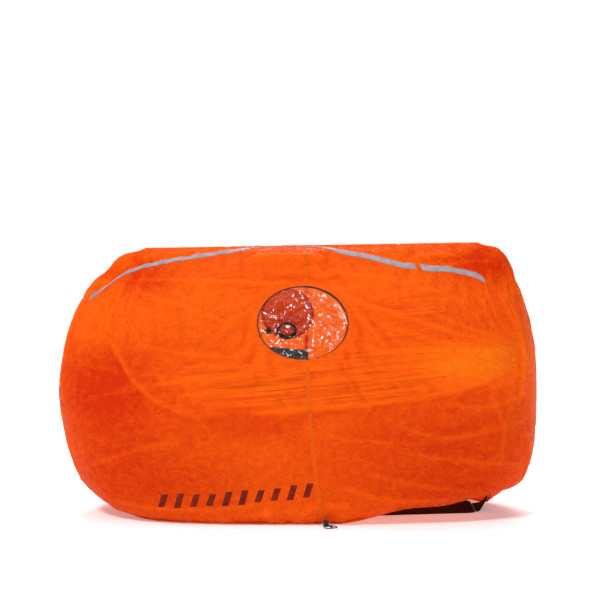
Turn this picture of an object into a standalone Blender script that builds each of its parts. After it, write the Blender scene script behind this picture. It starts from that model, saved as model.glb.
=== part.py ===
"""Two-person emergency group shelter: a light fabric cover pulled over two seated people.

Metres, +Z up, X along the ridge, -Y is the front with the window. The origin is on the ground,
under the middle of the shelter. Run with: blender --background --python part.py
"""
import math

import bmesh
import bpy
import numpy as np
from mathutils import Vector

TAU = 2.0 * math.pi

# ---------------------------------------------------------------- driving dimensions
# One row for each height of the fabric skin, from the hem to the ridge:
# (height, reach to the left, reach to the right, half depth)
STATIONS = np.array((
    (0.0046, 0.500, 0.600, 0.228),
    (0.035, 0.574, 0.640, 0.258),
    (0.100, 0.648, 0.690, 0.275),
    (0.210, 0.697, 0.722, 0.280),
    (0.360, 0.724, 0.725, 0.270),
    (0.500, 0.709, 0.716, 0.243),
    (0.605, 0.680, 0.697, 0.208),
    (0.690, 0.636, 0.671, 0.158),
    (0.757, 0.576, 0.643, 0.103),
    (0.795, 0.527, 0.609, 0.055),
    (0.8125, 0.460, 0.550, 0.0),
))
RIDGE = len(STATIONS) - 1
RIDGE_TILT = 0.017              # the right-hand head holds the ridge higher, per metre of X
WAIST_DEPTH = 0.30              # how far the walls draw in between the two heads
WAIST_HALF_WIDTH = 0.30
HEM_LIFT = 0.040                # the hem rides up towards the right end, in two steps

PANEL = 0.0012                  # thickness of one fabric panel
GAP = 0.0010                    # clearance between two panels that are sewn together
STRIP_WIDTH = 0.016             # reflective strip along each roof seam
TAPE_WIDTH = 0.012              # tape over each centre seam

CENTRE_SEAM = math.radians(-87.6)
SEAM_LEAN = math.radians(4.2)   # the front centre seam runs off to the right towards the hem
SEAM_LEAN_REACH = math.radians(26.0)
CORNER_RIGHT = math.radians(40.0)
CORNER_LEFT = math.radians(146.0)
COLUMN_STEP = math.radians(5.2)
PANEL_ROWS = 9

# front edge of the roof: height of the strip's middle at places along X
FRONT_SEAM = np.array((
    (-0.60, 0.672), (-0.53, 0.727), (-0.44, 0.763), (-0.25, 0.792), (-0.10, 0.803),
    (0.05, 0.805), (0.16, 0.796), (0.34, 0.760), (0.50, 0.744), (0.62, 0.690),
))
BACK_SEAM_HEIGHT = 0.712
END_SEAM_HEIGHT = 0.680

WINDOW_CENTRE = (0.017, 0.590)  # X and Z of the clear window in the front
WINDOW_HALF = (0.132, 0.103)
BINDING_WIDTH = 0.005
OPENING_CLEARANCE = 0.0016      # between a panel's round opening and what is sewn into it

HEM_TUBE_RADIUS = 0.0045
HEM_TUBE_WALL = 0.0015
HEM_CORD_RADIUS = 0.0014
HEM_STEPS = 46
EXIT_X = 0.085                  # the cord leaves the hem here, at the front
EXIT_HALF_GAP = 0.011

VENT_X = -0.030                 # ventilation sleeve in the back wall
VENT_Z = 0.590
VENT_BASE_RADIUS = 0.075
VENT_COLLAR_WIDTH = 0.008
VENT_MOUTH_RADIUS = 0.027
VENT_LENGTH = 0.085
VENT_BAND_LENGTH = 0.011
VENT_CORD_RADIUS = 0.00125
VENT_LOCK_OUT = 0.056           # from the middle of the mouth to the lock beside it

MAT_THICKNESS = 0.0025
# outer edge X, inner edge X, outer edge Y range, inner edge Y range
MAT_LEFT = (-0.445, -0.110, (-0.120, 0.120), (-0.205, 0.170))
MAT_RIGHT = (0.545, 0.225, (-0.060, 0.130), (-0.105, 0.185))
SKIRT_Y = (-0.045, 0.085)       # stretch of the hem that the skirts join
# The black skirt that joins a mat to the hem: how far it runs out from the mat, and how far it
# rises at its front, middle and back.
SKIRT_LEFT = (0.026, (0.020, 0.020, 0.020))
SKIRT_RIGHT = (0.038, (0.036, 0.024, 0.007))


# ---------------------------------------------------------------- scene helpers
def clear_scene():
    for item in list(bpy.data.objects):
        bpy.data.objects.remove(item, do_unlink=True)


def make_collection(name):
    group = bpy.data.collections.new(name)
    bpy.context.scene.collection.children.link(group)
    return group


def make_material(name, colour, roughness=0.7, metallic=0.0, alpha=1.0):
    finish = bpy.data.materials.new(name)
    finish.use_nodes = True
    shader = finish.node_tree.nodes["Principled BSDF"]
    shader.inputs["Base Color"].default_value = (*colour, 1.0)
    shader.inputs["Roughness"].default_value = roughness
    shader.inputs["Metallic"].default_value = metallic
    shader.inputs["Alpha"].default_value = alpha
    return finish


def add_mesh(name, bm, group, finish, smooth=True):
    mesh = bpy.data.meshes.new(name)
    bm.to_mesh(mesh)
    bm.free()
    part = bpy.data.objects.new(name, mesh)
    group.objects.link(part)
    mesh.materials.append(finish)
    if smooth:
        mesh.shade_smooth()
        mesh.set_sharp_from_angle(angle=math.radians(40))
    return part


def thicken(part, thickness, offset=-1.0):
    solid = part.modifiers.new("thickness", "SOLIDIFY")
    solid.thickness = thickness
    solid.offset = offset
    solid.use_even_offset = False
    return part


def link_only(part, group):
    for other in list(part.users_collection):
        other.objects.unlink(part)
    group.objects.link(part)


# ---------------------------------------------------------------- the fabric skin
def catmull(table, u):
    """A smooth curve through the rows of a table, u counted in rows."""
    last = len(table) - 1
    u = min(max(u, 0.0), float(last))
    i = min(int(u), last - 1)
    f = u - i
    p1, p2 = table[i], table[i + 1]
    p0 = table[i - 1] if i > 0 else 2.0 * p1 - p2
    p3 = table[i + 2] if i + 2 <= last else 2.0 * p2 - p1
    return 0.5 * (2.0 * p1 + (p2 - p0) * f + (2.0 * p0 - 5.0 * p1 + 4.0 * p2 - p3) * f * f
                  + (3.0 * p1 - p0 - 3.0 * p2 + p3) * f ** 3)


def smoothstep(low, high, value):
    f = min(max((value - low) / (high - low), 0.0), 1.0)
    return f * f * (3.0 - 2.0 * f)


def squareness(u, right, front):
    """Exponent of the rounded plan shape: rounder at the hem, at the right of the front."""
    at_hem = 2.3 if right and front else 3.2
    belly = 2.9
    top = 2.3
    n = at_hem + (belly - at_hem) * smoothstep(0.0, 2.0, u)
    return n + (top - belly) * smoothstep(5.0, RIDGE, u)


def skin(turn, u):
    """Point of the fabric skin: turn is the direction round Z (0 at the right end, -90 degrees
    at the front), u the height in stations."""
    height, left, right, depth = catmull(STATIONS, u)
    depth = max(depth, 0.0)
    from_front = math.remainder(turn + math.pi / 2, TAU) / SEAM_LEAN_REACH
    turn += SEAM_LEAN * math.exp(-from_front ** 2) * smoothstep(5.0, 0.0, u)
    c = math.cos(turn)
    s = math.sin(turn)
    n = squareness(u, c > 0, s < 0)
    reach = (abs(c) ** n + abs(s) ** n) ** (-1.0 / n)
    x = reach * c * (right if c > 0 else left)
    y = reach * s * depth
    waist = WAIST_DEPTH * math.exp(-(x / WAIST_HALF_WIDTH) ** 2) * smoothstep(0.36, 0.72, height)
    y *= 1.0 - waist
    z = height + RIDGE_TILT * x * smoothstep(0.45, 0.75, height)
    if s < 0.45 and c > 0:
        lift = 0.5 * smoothstep(0.11, 0.40, x) + 0.5 * smoothstep(0.40, 0.58, x)
        lift *= smoothstep(0.45, -0.1, s)
        z += HEM_LIFT * lift * smoothstep(2.0, 0.0, u)
    return Vector((x, y, z))


def station_at(turn, z):
    """The u at which the skin reaches a height, in the direction turn."""
    low, high = 0.0, float(RIDGE)
    for _ in range(40):
        middle = 0.5 * (low + high)
        if skin(turn, middle).z < z:
            low = middle
        else:
            high = middle
    return 0.5 * (low + high)


def turn_at(x, u, front=True):
    """The direction in which the skin passes a place along X, at the height u."""
    sign = -1.0 if front else 1.0
    low, high = math.radians(1.0), math.radians(179.0)
    for _ in range(40):
        middle = 0.5 * (low + high)
        if skin(sign * middle, u).x > x:
            low = middle
        else:
            high = middle
    return sign * 0.5 * (low + high)


def skin_at(x, z, front=True):
    """The point of the front or back wall above a place given by X and Z."""
    turn = -math.pi / 2 if front else math.pi / 2
    u = station_at(turn, z)
    for _ in range(6):
        turn = turn_at(x, u, front)
        u = station_at(turn, z)
    return skin(turn, u)


def skin_normal(x, z, front=True):
    step = 0.004
    across = skin_at(x + step, z, front) - skin_at(x - step, z, front)
    up = skin_at(x, z + step, front) - skin_at(x, z - step, front)
    normal = across.cross(up).normalized()
    if (normal.y > 0) == front:
        normal.negate()
    return normal


def front_seam_height(x):
    row = float(np.interp(x, FRONT_SEAM[:, 0], range(len(FRONT_SEAM))))
    return float(catmull(FRONT_SEAM, row)[1])


def seam_station(turn):
    """The u of the roof seam in a direction round Z."""
    s = math.sin(turn)
    side = smoothstep(0.0, 0.55, abs(s))
    if s < 0:
        low, high = 3.0, float(RIDGE)
        for _ in range(40):
            along = 0.5 * (low + high)
            point = skin(turn, along)
            if point.z < front_seam_height(point.x):
                low = along
            else:
                high = along
    else:
        along = station_at(turn, BACK_SEAM_HEIGHT + RIDGE_TILT * skin(turn, 8.0).x)
    end = station_at(turn, END_SEAM_HEIGHT)
    return end + (along - end) * side


def band_edge(turn, u, distance):
    """Move u up or down the skin by a distance measured on the skin."""
    probe = 0.05
    near = skin(turn, max(u - probe, 0.0))
    far = skin(turn, min(u + probe, float(RIDGE)))
    span = (min(u + probe, float(RIDGE)) - max(u - probe, 0.0))
    return u + distance * span / (far - near).length


def side_gap(turn, width=GAP, u=4.0):
    """The angle round Z that spans a width on the skin."""
    step = 0.01
    return width * 2.0 * step / (skin(turn + step, u) - skin(turn - step, u)).length


def columns(start, end, start_inset, end_inset):
    """Directions of a panel's columns; the first and last draw in from the seams."""
    count = max(2, round(abs(end - start) / COLUMN_STEP))
    turns = [start + (end - start) * i / count for i in range(count + 1)]
    turns[0] += start_inset
    turns[-1] -= end_inset
    return turns


def wall_columns():
    """Columns of the six walls, in order round Z from the front corner at the right."""
    right, left = side_gap(CORNER_RIGHT, 0.5 * GAP), side_gap(CORNER_LEFT, 0.5 * GAP)
    tape = side_gap(CENTRE_SEAM, 0.5 * TAPE_WIDTH + 0.5 * GAP)
    seam = -CENTRE_SEAM
    return {
        "end_panel_right": columns(-CORNER_RIGHT, CORNER_RIGHT, right, right),
        "back_panel_right": columns(CORNER_RIGHT, seam, right, tape),
        "back_panel_left": columns(seam, CORNER_LEFT, tape, left),
        "end_panel_left": columns(CORNER_LEFT, TAU - CORNER_LEFT, left, left),
        "front_panel_left": columns(-CORNER_LEFT, CENTRE_SEAM, left, tape),
        "front_panel_right": columns(CENTRE_SEAM, -CORNER_RIGHT, tape, right),
    }


def patch(name, turns, low, high, rows, group, finish):
    """A panel of the skin: columns at turns, rows from low(turn) to high(turn)."""
    bm = bmesh.new()
    grid = []
    for turn in turns:
        bottom, top = low(turn), high(turn)
        column = [bm.verts.new(skin(turn, bottom + (top - bottom) * j / rows))
                  for j in range(rows + 1)]
        grid.append(column)
    for left, right in zip(grid, grid[1:]):
        for j in range(rows):
            bm.faces.new((left[j], right[j], right[j + 1], left[j + 1]))
    return thicken(add_mesh(name, bm, group, finish), PANEL)


# ---------------------------------------------------------------- cutters
def oval_cutter(name, centre, half, y_range, group):
    bpy.ops.mesh.primitive_cylinder_add(vertices=40, radius=1.0, depth=1.0)
    cutter = bpy.context.object
    cutter.name = name
    cutter.rotation_euler = (math.pi / 2, 0.0, 0.0)
    cutter.scale = (half[0], half[1], y_range[1] - y_range[0])
    cutter.location = (centre[0], 0.5 * (y_range[0] + y_range[1]), centre[1])
    cutter.hide_render = True
    cutter.display_type = "WIRE"
    link_only(cutter, group)
    return cutter


def cut(part, cutter):
    hole = part.modifiers.new("opening", "BOOLEAN")
    hole.object = cutter
    hole.operation = "DIFFERENCE"
    hole.solver = "EXACT"


# ---------------------------------------------------------------- fabric panels
def build_walls(group, cutters, orange, walls):
    def bottom(turn):
        return band_edge(turn, 0.0, HEM_TUBE_RADIUS + 2.0 * GAP)

    def under_strip(turn):
        return band_edge(turn, seam_station(turn), -0.5 * (STRIP_WIDTH + GAP))

    def under_roof(turn):
        return band_edge(turn, seam_station(turn), -0.5 * GAP)

    panels = {}
    for name, turns in walls.items():
        top = under_roof if name.startswith("end") else under_strip
        panels[name] = patch(name, turns, bottom, top, PANEL_ROWS, group, orange)

    opening = tuple(half + BINDING_WIDTH + OPENING_CLEARANCE for half in WINDOW_HALF)
    window_cut = oval_cutter("window_cutter", WINDOW_CENTRE, opening, (-0.40, -0.05), cutters)
    collar = VENT_BASE_RADIUS + VENT_COLLAR_WIDTH + OPENING_CLEARANCE
    vent_cut = oval_cutter("vent_cutter", (VENT_X, VENT_Z), (collar, collar), (0.05, 0.40), cutters)
    for side in ("left", "right"):
        cut(panels[f"front_panel_{side}"], window_cut)
        cut(panels[f"back_panel_{side}"], vent_cut)


def build_roof(group, orange, walls):
    """The roof runs from the front strip over the ridge to the back strip and both ends."""
    rows = 4
    crowding = 1.6
    bm = bmesh.new()
    grid = []
    for name, turns in walls.items():
        over_strip = not name.startswith("end")
        inset = 0.5 * (STRIP_WIDTH + GAP) if over_strip else 0.5 * GAP
        for turn in turns:
            direction = turn if turn <= math.pi else turn - TAU
            low = band_edge(direction, seam_station(direction), inset)
            steps = [1.0 - (1.0 - j / rows) ** crowding for j in range(rows + 1)]
            grid.append([bm.verts.new(skin(direction, low + (RIDGE - low) * f)) for f in steps])
    for left, right in zip(grid, grid[1:] + grid[:1]):
        for j in range(rows):
            bm.faces.new((left[j], right[j], right[j + 1], left[j + 1]))
    bmesh.ops.remove_doubles(bm, verts=[column[rows] for column in grid], dist=0.0001)
    return thicken(add_mesh("roof_panel", bm, group, orange), PANEL)


def build_strips(group, silver, walls):
    half = 0.5 * (STRIP_WIDTH - GAP)
    for side, first, second in (("front", "left", "right"), ("back", "right", "left")):
        turns = walls[f"{side}_panel_{first}"] + walls[f"{side}_panel_{second}"]
        turns[0] += side_gap(turns[0], 2.0 * GAP)
        turns[-1] -= side_gap(turns[-1], 2.0 * GAP)
        patch(f"reflective_strip_{side}", turns,
              lambda t: band_edge(t, seam_station(t), -half),
              lambda t: band_edge(t, seam_station(t), half), 1, group, silver)


def build_tapes(group, orange):
    """Tape over the centre seams, in front and at the back, under and over the round openings."""
    half = side_gap(CENTRE_SEAM, 0.5 * (TAPE_WIDTH - GAP))
    clear = 0.0035
    window_reach = WINDOW_HALF[1] + BINDING_WIDTH + clear
    vent_reach = VENT_BASE_RADIUS + VENT_COLLAR_WIDTH + clear
    sides = (("front", CENTRE_SEAM, WINDOW_CENTRE[1], window_reach),
             ("back", -CENTRE_SEAM, VENT_Z, vent_reach))
    for side, seam, middle, reach in sides:
        turns = [seam - half, seam + half]
        patch(f"{side}_seam_tape_lower", turns,
              lambda t: band_edge(t, 0.0, HEM_TUBE_RADIUS + 2.0 * GAP),
              lambda t, z=middle - reach: station_at(t, z), 7, group, orange)
        patch(f"{side}_seam_tape_upper", turns,
              lambda t, z=middle + reach: station_at(t, z),
              lambda t: band_edge(t, seam_station(t), -0.5 * (STRIP_WIDTH + GAP)), 2, group,
              orange)


# ---------------------------------------------------------------- window and vent in the skin
def oval_patch(name, centre, rings, front, group, finish, thickness, sides=40):
    """A patch of the wall between oval outlines; a first ring of size 0 closes the middle."""
    bm = bmesh.new()
    rows = []
    for half in rings:
        if half[0] == 0:
            rows.append([bm.verts.new(skin_at(centre[0], centre[1], front))] * sides)
            continue
        ring = []
        for i in range(sides):
            angle = TAU * i / sides
            x = centre[0] + half[0] * math.cos(angle)
            z = centre[1] + half[1] * math.sin(angle)
            ring.append(bm.verts.new(skin_at(x, z, front)))
        rows.append(ring)
    for inner, outer in zip(rows, rows[1:]):
        for i in range(sides):
            j = (i + 1) % sides
            corners = [inner[i], outer[i], outer[j], inner[j]]
            if corners[0] == corners[3]:
                corners = corners[:3]
            bm.faces.new(corners if front else corners[::-1])
    return thicken(add_mesh(name, bm, group, finish), thickness)


def build_window(group, clear, black):
    halves = []
    for share in (0.0, 0.34, 0.67, 1.0):
        halves.append(tuple(share * (half - 0.5 * GAP) for half in WINDOW_HALF))
    oval_patch("window_pane", WINDOW_CENTRE, halves, True, group, clear, 0.001)
    rings = [tuple(half + extra for half in WINDOW_HALF)
             for extra in (0.5 * GAP, BINDING_WIDTH - 0.0002)]
    oval_patch("window_binding", WINDOW_CENTRE, rings, True, group, black, PANEL)


def vent_axes():
    """Middle of the sleeve's base on the back wall, and the direction into the shelter."""
    base = skin_at(VENT_X, VENT_Z, False)
    inward = -skin_normal(VENT_X, VENT_Z, False)
    return base, inward


def place_along(part, base, direction):
    part.location = base
    part.rotation_euler = direction.to_track_quat("Z", "X").to_euler()
    return part


def turned(name, profile, group, finish, steps=24):
    """A turned shape from a closed profile of (radius, height) points, outer side first."""
    bm = bmesh.new()
    points = [bm.verts.new((radius, 0.0, height)) for radius, height in profile]
    for first, second in zip(points, points[1:] + points[:1]):
        bm.edges.new((first, second))
    part = add_mesh(name, bm, group, finish, smooth=False)
    screw = part.modifiers.new("turn", "SCREW")
    screw.axis = "Z"
    screw.angle = TAU
    screw.steps = steps
    screw.render_steps = steps
    screw.use_merge_vertices = True
    screw.merge_threshold = 0.00001
    screw.use_normal_calculate = False
    screw.use_smooth_shade = True
    return part


def build_vent(group, orange, black):
    rings = [(radius, radius) for radius in
             (VENT_BASE_RADIUS, VENT_BASE_RADIUS + VENT_COLLAR_WIDTH)]
    oval_patch("vent_collar", (VENT_X, VENT_Z), rings, False, group, orange, PANEL)
    base, inward = vent_axes()
    start = 0.005
    wide = VENT_BASE_RADIUS - 0.004
    waist = VENT_MOUTH_RADIUS + 0.012
    sleeve = turned("vent_sleeve", (
        (wide, start), (waist, 0.6 * VENT_LENGTH), (VENT_MOUTH_RADIUS, VENT_LENGTH),
        (VENT_MOUTH_RADIUS - PANEL, VENT_LENGTH), (waist - PANEL, 0.6 * VENT_LENGTH),
        (wide - 1.5 * PANEL, start),
    )[::-1], group, orange)
    place_along(sleeve, base, inward)
    band_end = VENT_LENGTH + GAP + VENT_BAND_LENGTH
    band = turned("vent_mouth_band", (
        (VENT_MOUTH_RADIUS, VENT_LENGTH + GAP), (VENT_MOUTH_RADIUS, band_end),
        (VENT_MOUTH_RADIUS - 0.002, band_end), (VENT_MOUTH_RADIUS - 0.002, VENT_LENGTH + GAP),
    )[::-1], group, black)
    place_along(band, base, inward)
    return base + inward * (VENT_LENGTH + GAP + 0.5 * VENT_BAND_LENGTH), inward


# ---------------------------------------------------------------- cords
def smooth_route(points, count):
    """count points, evenly spaced, on a smooth curve through the given points."""
    table = np.array(points, dtype=float)
    fine = np.array([catmull(table, (len(table) - 1) * i / 600.0) for i in range(601)])
    steps = np.linalg.norm(np.diff(fine, axis=0), axis=1)
    along = np.concatenate(([0.0], np.cumsum(steps)))
    wanted = np.linspace(0.0, along[-1], count)
    return [[float(np.interp(w, along, fine[:, k])) for k in range(3)] for w in wanted]


def cord(name, points, radius, group, finish, resolution=2):
    line = bpy.data.curves.new(name, "CURVE")
    line.dimensions = "3D"
    line.bevel_depth = radius
    line.bevel_resolution = resolution
    line.use_fill_caps = True
    spline = line.splines.new("POLY")
    spline.points.add(len(points) - 1)
    for point, place in zip(spline.points, points):
        point.co = (*place, 1.0)
    line.materials.append(finish)
    part = bpy.data.objects.new(name, line)
    group.objects.link(part)
    return part


def hem_route():
    """Points of the hem, once round from the left mouth to the right mouth of the casing."""
    middle = turn_at(EXIT_X, 0.0)
    step = 0.01
    per_metre = 2.0 * step / (skin(middle + step, 0.0) - skin(middle - step, 0.0)).length
    half = EXIT_HALF_GAP * per_metre
    start, end = middle - half, middle + half - TAU
    turns = [start + (end - start) * i / 400.0 for i in range(401)]
    points = [tuple(skin(turn, 0.0)) for turn in turns]
    return smooth_route(points, HEM_STEPS)


def build_hem(group, orange, black):
    route = hem_route()
    source = cord("hem_casing_source", route, HEM_TUBE_RADIUS, group, orange, resolution=1)
    source.data.use_fill_caps = False
    bpy.context.view_layer.update()
    mesh = bpy.data.meshes.new_from_object(source.evaluated_get(
        bpy.context.evaluated_depsgraph_get()))
    mesh.name = "hem_casing"
    line = source.data
    bpy.data.objects.remove(source, do_unlink=True)
    bpy.data.curves.remove(line)
    casing = bpy.data.objects.new("hem_casing", mesh)
    group.objects.link(casing)
    thicken(casing, HEM_TUBE_WALL)
    cord("hem_drawcord", route, HEM_CORD_RADIUS, group, black, resolution=1)
    return Vector(route[0]), Vector(route[-1])


def vent_cord_points(mouth, inward):
    """The drawcord of the vent: from the lock, once round the mouth band, back to the lock."""
    side = Vector((-1.0, 0.0, 0.0))
    down = inward.cross(side)
    ring = VENT_MOUTH_RADIUS + VENT_CORD_RADIUS + 0.0005
    strand = VENT_CORD_RADIUS + 0.0006
    lock = mouth + side * VENT_LOCK_OUT
    back = Vector((0.0, strand, 0.0))
    points = [lock + side * 0.0105 + back, lock + back, lock - side * 0.020 + back]
    turns = 18
    open_angle = 0.30
    for i in range(turns + 1):
        angle = open_angle + (TAU - 2.0 * open_angle) * i / turns
        points.append(mouth + side * (ring * math.cos(angle)) - down * (ring * math.sin(angle)))
    points += [lock - side * 0.020 - back, lock - back, lock + side * 0.0105 - back]
    return [tuple(point) for point in points]


def vent_tail_points(mouth):
    """A loop of cord that hangs from the lock of the vent."""
    strand = VENT_CORD_RADIUS + 0.0006
    lock = mouth + Vector((-VENT_LOCK_OUT, 0.0, 0.0))
    strand_path = ((-0.0110, 0.0), (-0.0170, -0.0012), (-0.0215, -0.0065), (-0.0230, -0.015),
                   (-0.0230, -0.032), (-0.0232, -0.048), (-0.0234, -0.056))
    spread = (1.0, 1.1, 1.5, 2.0, 2.8, 2.8, 1.9)
    down = [(lock.x + x, lock.y + strand * wide, lock.z + z)
            for (x, z), wide in zip(strand_path, spread)]
    up = [(x, 2.0 * lock.y - y, z) for x, y, z in reversed(down)]
    return down + [(lock.x - 0.0234, lock.y, lock.z - 0.0592)] + up


def tail_points(left, right):
    """Route of the cord tail, from the casing's left mouth through the lock, round its two
    loops on the ground and back to the right mouth."""
    out = LOCK_OUT
    x = 0.5 * (left.x + right.x)
    y = left.y
    low = HEM_CORD_RADIUS + 0.0004
    high = low + 0.0047
    strand = 0.0024
    lock = LOCK_CORD_HEIGHT
    under = left.z + 0.0020         # the strands dip under the panel's edge before they rise
    return [
        (left.x + 0.0010, left.y, left.z), (x - 0.0065, y - 0.0015, left.z),
        (x - strand - 0.0012, y - 0.0075, under), (x - strand, y - out + 0.016, lock),
        (x - strand, y - out - 0.010, lock), (x - strand - 0.003, y - out - 0.020, 0.004),
        (x - 0.004, y - out - 0.031, low), (x + 0.006, y - out - 0.037, low),
        (x + 0.017, y - out - 0.033, low), (x + 0.019, y - out - 0.022, low),
        (x + 0.011, y - out - 0.017, high), (x + 0.010, y - out - 0.026, high),
        (x + 0.020, y - out - 0.030, low), (x + 0.031, y - out - 0.022, low),
        (x + 0.030, y - out - 0.008, low), (x + 0.017, y - out - 0.0045, 0.003),
        (x + 0.008, y - out - 0.011, 0.006), (x + strand, y - out - 0.008, lock),
        (x + strand, y - out + 0.016, lock),
        (x + strand + 0.0012, y - 0.0075, under), (x + 0.0065, y - 0.0015, right.z),
        (right.x - 0.0010, right.y, right.z),
    ]


# ---------------------------------------------------------------- cord locks
LOCK_BODY_RADIUS = 0.0085
LOCK_BODY_HEIGHT = 0.0150
LOCK_BORE_RADIUS = 0.0060
LOCK_FLOOR = 0.0022
LOCK_PLUNGER_RADIUS = 0.0055
LOCK_PLUNGER_STANDS = 0.0050
LOCK_CORD_HEIGHT = 0.0095
LOCK_SPRING_TOP = 0.0062
PLUNGER_TRAVEL = 0.0020
LOCK_OUT = 0.030                # the hem's lock stands this far in front of the hem


def lock_body(name, place, group, finish):
    """A cup with a bore from above, and a slot straight through it for both strands."""
    shell = turned(name, (
        (LOCK_BODY_RADIUS, LOCK_BODY_HEIGHT), (LOCK_BODY_RADIUS, 0.0), (0.0, 0.0),
        (0.0, LOCK_FLOOR), (LOCK_BORE_RADIUS, LOCK_FLOOR), (LOCK_BORE_RADIUS, LOCK_BODY_HEIGHT),
    ), group, finish, steps=20)
    shell.location = place
    return shell


def cord_slot_cutter(name, place, along, group, height, travel):
    """A flat slot that both strands pass through, long enough for the plunger's travel."""
    bpy.ops.mesh.primitive_cube_add(size=1.0)
    cutter = bpy.context.object
    cutter.name = name
    cutter.scale = (0.0088, 0.040, height + travel)
    if along == "X":
        cutter.rotation_euler = (0.0, 0.0, math.pi / 2)
    cutter.location = place + Vector((0.0, 0.0, LOCK_CORD_HEIGHT + 0.5 * travel))
    cutter.hide_render = True
    cutter.display_type = "WIRE"
    link_only(cutter, group)
    return cutter


def lock_plunger(name, place, group, finish):
    """A stem with a domed head that stands out of the cup."""
    top = LOCK_BODY_HEIGHT + LOCK_PLUNGER_STANDS
    stem = turned(name, (
        (0.0, top), (0.0035, top), (0.0050, top - 0.0008), (LOCK_PLUNGER_RADIUS, top - 0.0020),
        (LOCK_PLUNGER_RADIUS, LOCK_SPRING_TOP + 0.0004), (0.0, LOCK_SPRING_TOP + 0.0004),
    ), group, finish, steps=20)
    stem.location = place
    return stem


def lock_spring(name, place, group, finish):
    wire = 0.0003
    coil = 0.0040
    turns = 3.0
    low = LOCK_FLOOR + wire + 0.0003
    high = LOCK_SPRING_TOP - wire
    count = 37
    points = []
    for i in range(count):
        share = i / (count - 1)
        angle = TAU * turns * share
        height = low + (high - low) * share
        points.append((place.x + coil * math.cos(angle), place.y + coil * math.sin(angle),
                       place.z + height))
    return cord(name, points, wire, group, finish, resolution=0)


def build_lock(prefix, place, along, group, cutters, black, grey, steel):
    body = lock_body(f"{prefix}_lock_body", place, group, black)
    plunger = lock_plunger(f"{prefix}_lock_plunger", place, group, grey)
    strand_room = 0.0040
    cut(body, cord_slot_cutter(f"{prefix}_body_slot", place, along, cutters, strand_room, 0.0))
    cut(plunger, cord_slot_cutter(f"{prefix}_plunger_slot", place, along, cutters,
                                  strand_room, PLUNGER_TRAVEL))
    lock_spring(f"{prefix}_lock_spring", place, group, steel)


# ---------------------------------------------------------------- seat mats
def flat_outline(name, corners, thickness, group, finish):
    """A sheet with rounded corners: a filled flat curve with an extrude."""
    line = bpy.data.curves.new(name, "CURVE")
    line.dimensions = "2D"
    line.fill_mode = "BOTH"
    line.extrude = 0.5 * thickness
    spline = line.splines.new("POLY")
    spline.points.add(len(corners) - 1)
    for point, (x, y) in zip(spline.points, corners):
        point.co = (x, y, 0.0, 1.0)
    spline.use_cyclic_u = True
    line.materials.append(finish)
    part = bpy.data.objects.new(name, line)
    group.objects.link(part)
    return part


def rounded(corners, radius, steps=5):
    """The outline with its corners rounded."""
    outline = []
    count = len(corners)
    for i in range(count):
        before, here, after = (Vector(corners[k % count]) for k in (i - 1, i, i + 1))
        back = (before - here).normalized()
        ahead = (after - here).normalized()
        start = here + back * radius
        end = here + ahead * radius
        for j in range(steps + 1):
            f = j / steps
            point = start * (1 - f) ** 2 + here * 2 * f * (1 - f) + end * f * f
            outline.append((point.x, point.y))
    return outline


def build_mat(side, shape, skirt, group, finish):
    """A seat mat that folds up about its outer edge, and the skirt that joins it to the hem."""
    outer, inner, outer_y, inner_y = shape
    corners = [(outer, outer_y[0]), (outer, outer_y[1]), (inner, inner_y[1]), (inner, inner_y[0])]
    hinge = bpy.data.objects.new(f"seat_mat_{side}_hinge", None)
    hinge.location = (outer, 0.0, MAT_THICKNESS)
    group.objects.link(hinge)
    outline = [(x - outer, y) for x, y in rounded(corners, 0.022)]
    mat = flat_outline(f"seat_mat_{side}", outline, MAT_THICKNESS, group, finish)
    mat.parent = hinge
    mat.location.z = -0.5 * MAT_THICKNESS

    outward = 1.0 if outer > 0 else -1.0
    low, high = SKIRT_Y
    run, rises = skirt
    bm = bmesh.new()
    rows = []
    for y, rise in zip((low, 0.5 * (low + high), high), rises):
        profile = ((0.0008, 0.0013), (0.31 * run, 0.0030), (0.69 * run, 0.5 * rise), (run, rise))
        rows.append([bm.verts.new((outer + outward * out, y, up)) for out, up in profile])
    for first, second in zip(rows, rows[1:]):
        for j in range(3):
            corners = (first[j], first[j + 1], second[j + 1], second[j])
            bm.faces.new(corners if outward > 0 else corners[::-1])
    thicken(add_mesh(f"seat_skirt_{side}", bm, group, finish), 0.0010)


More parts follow.
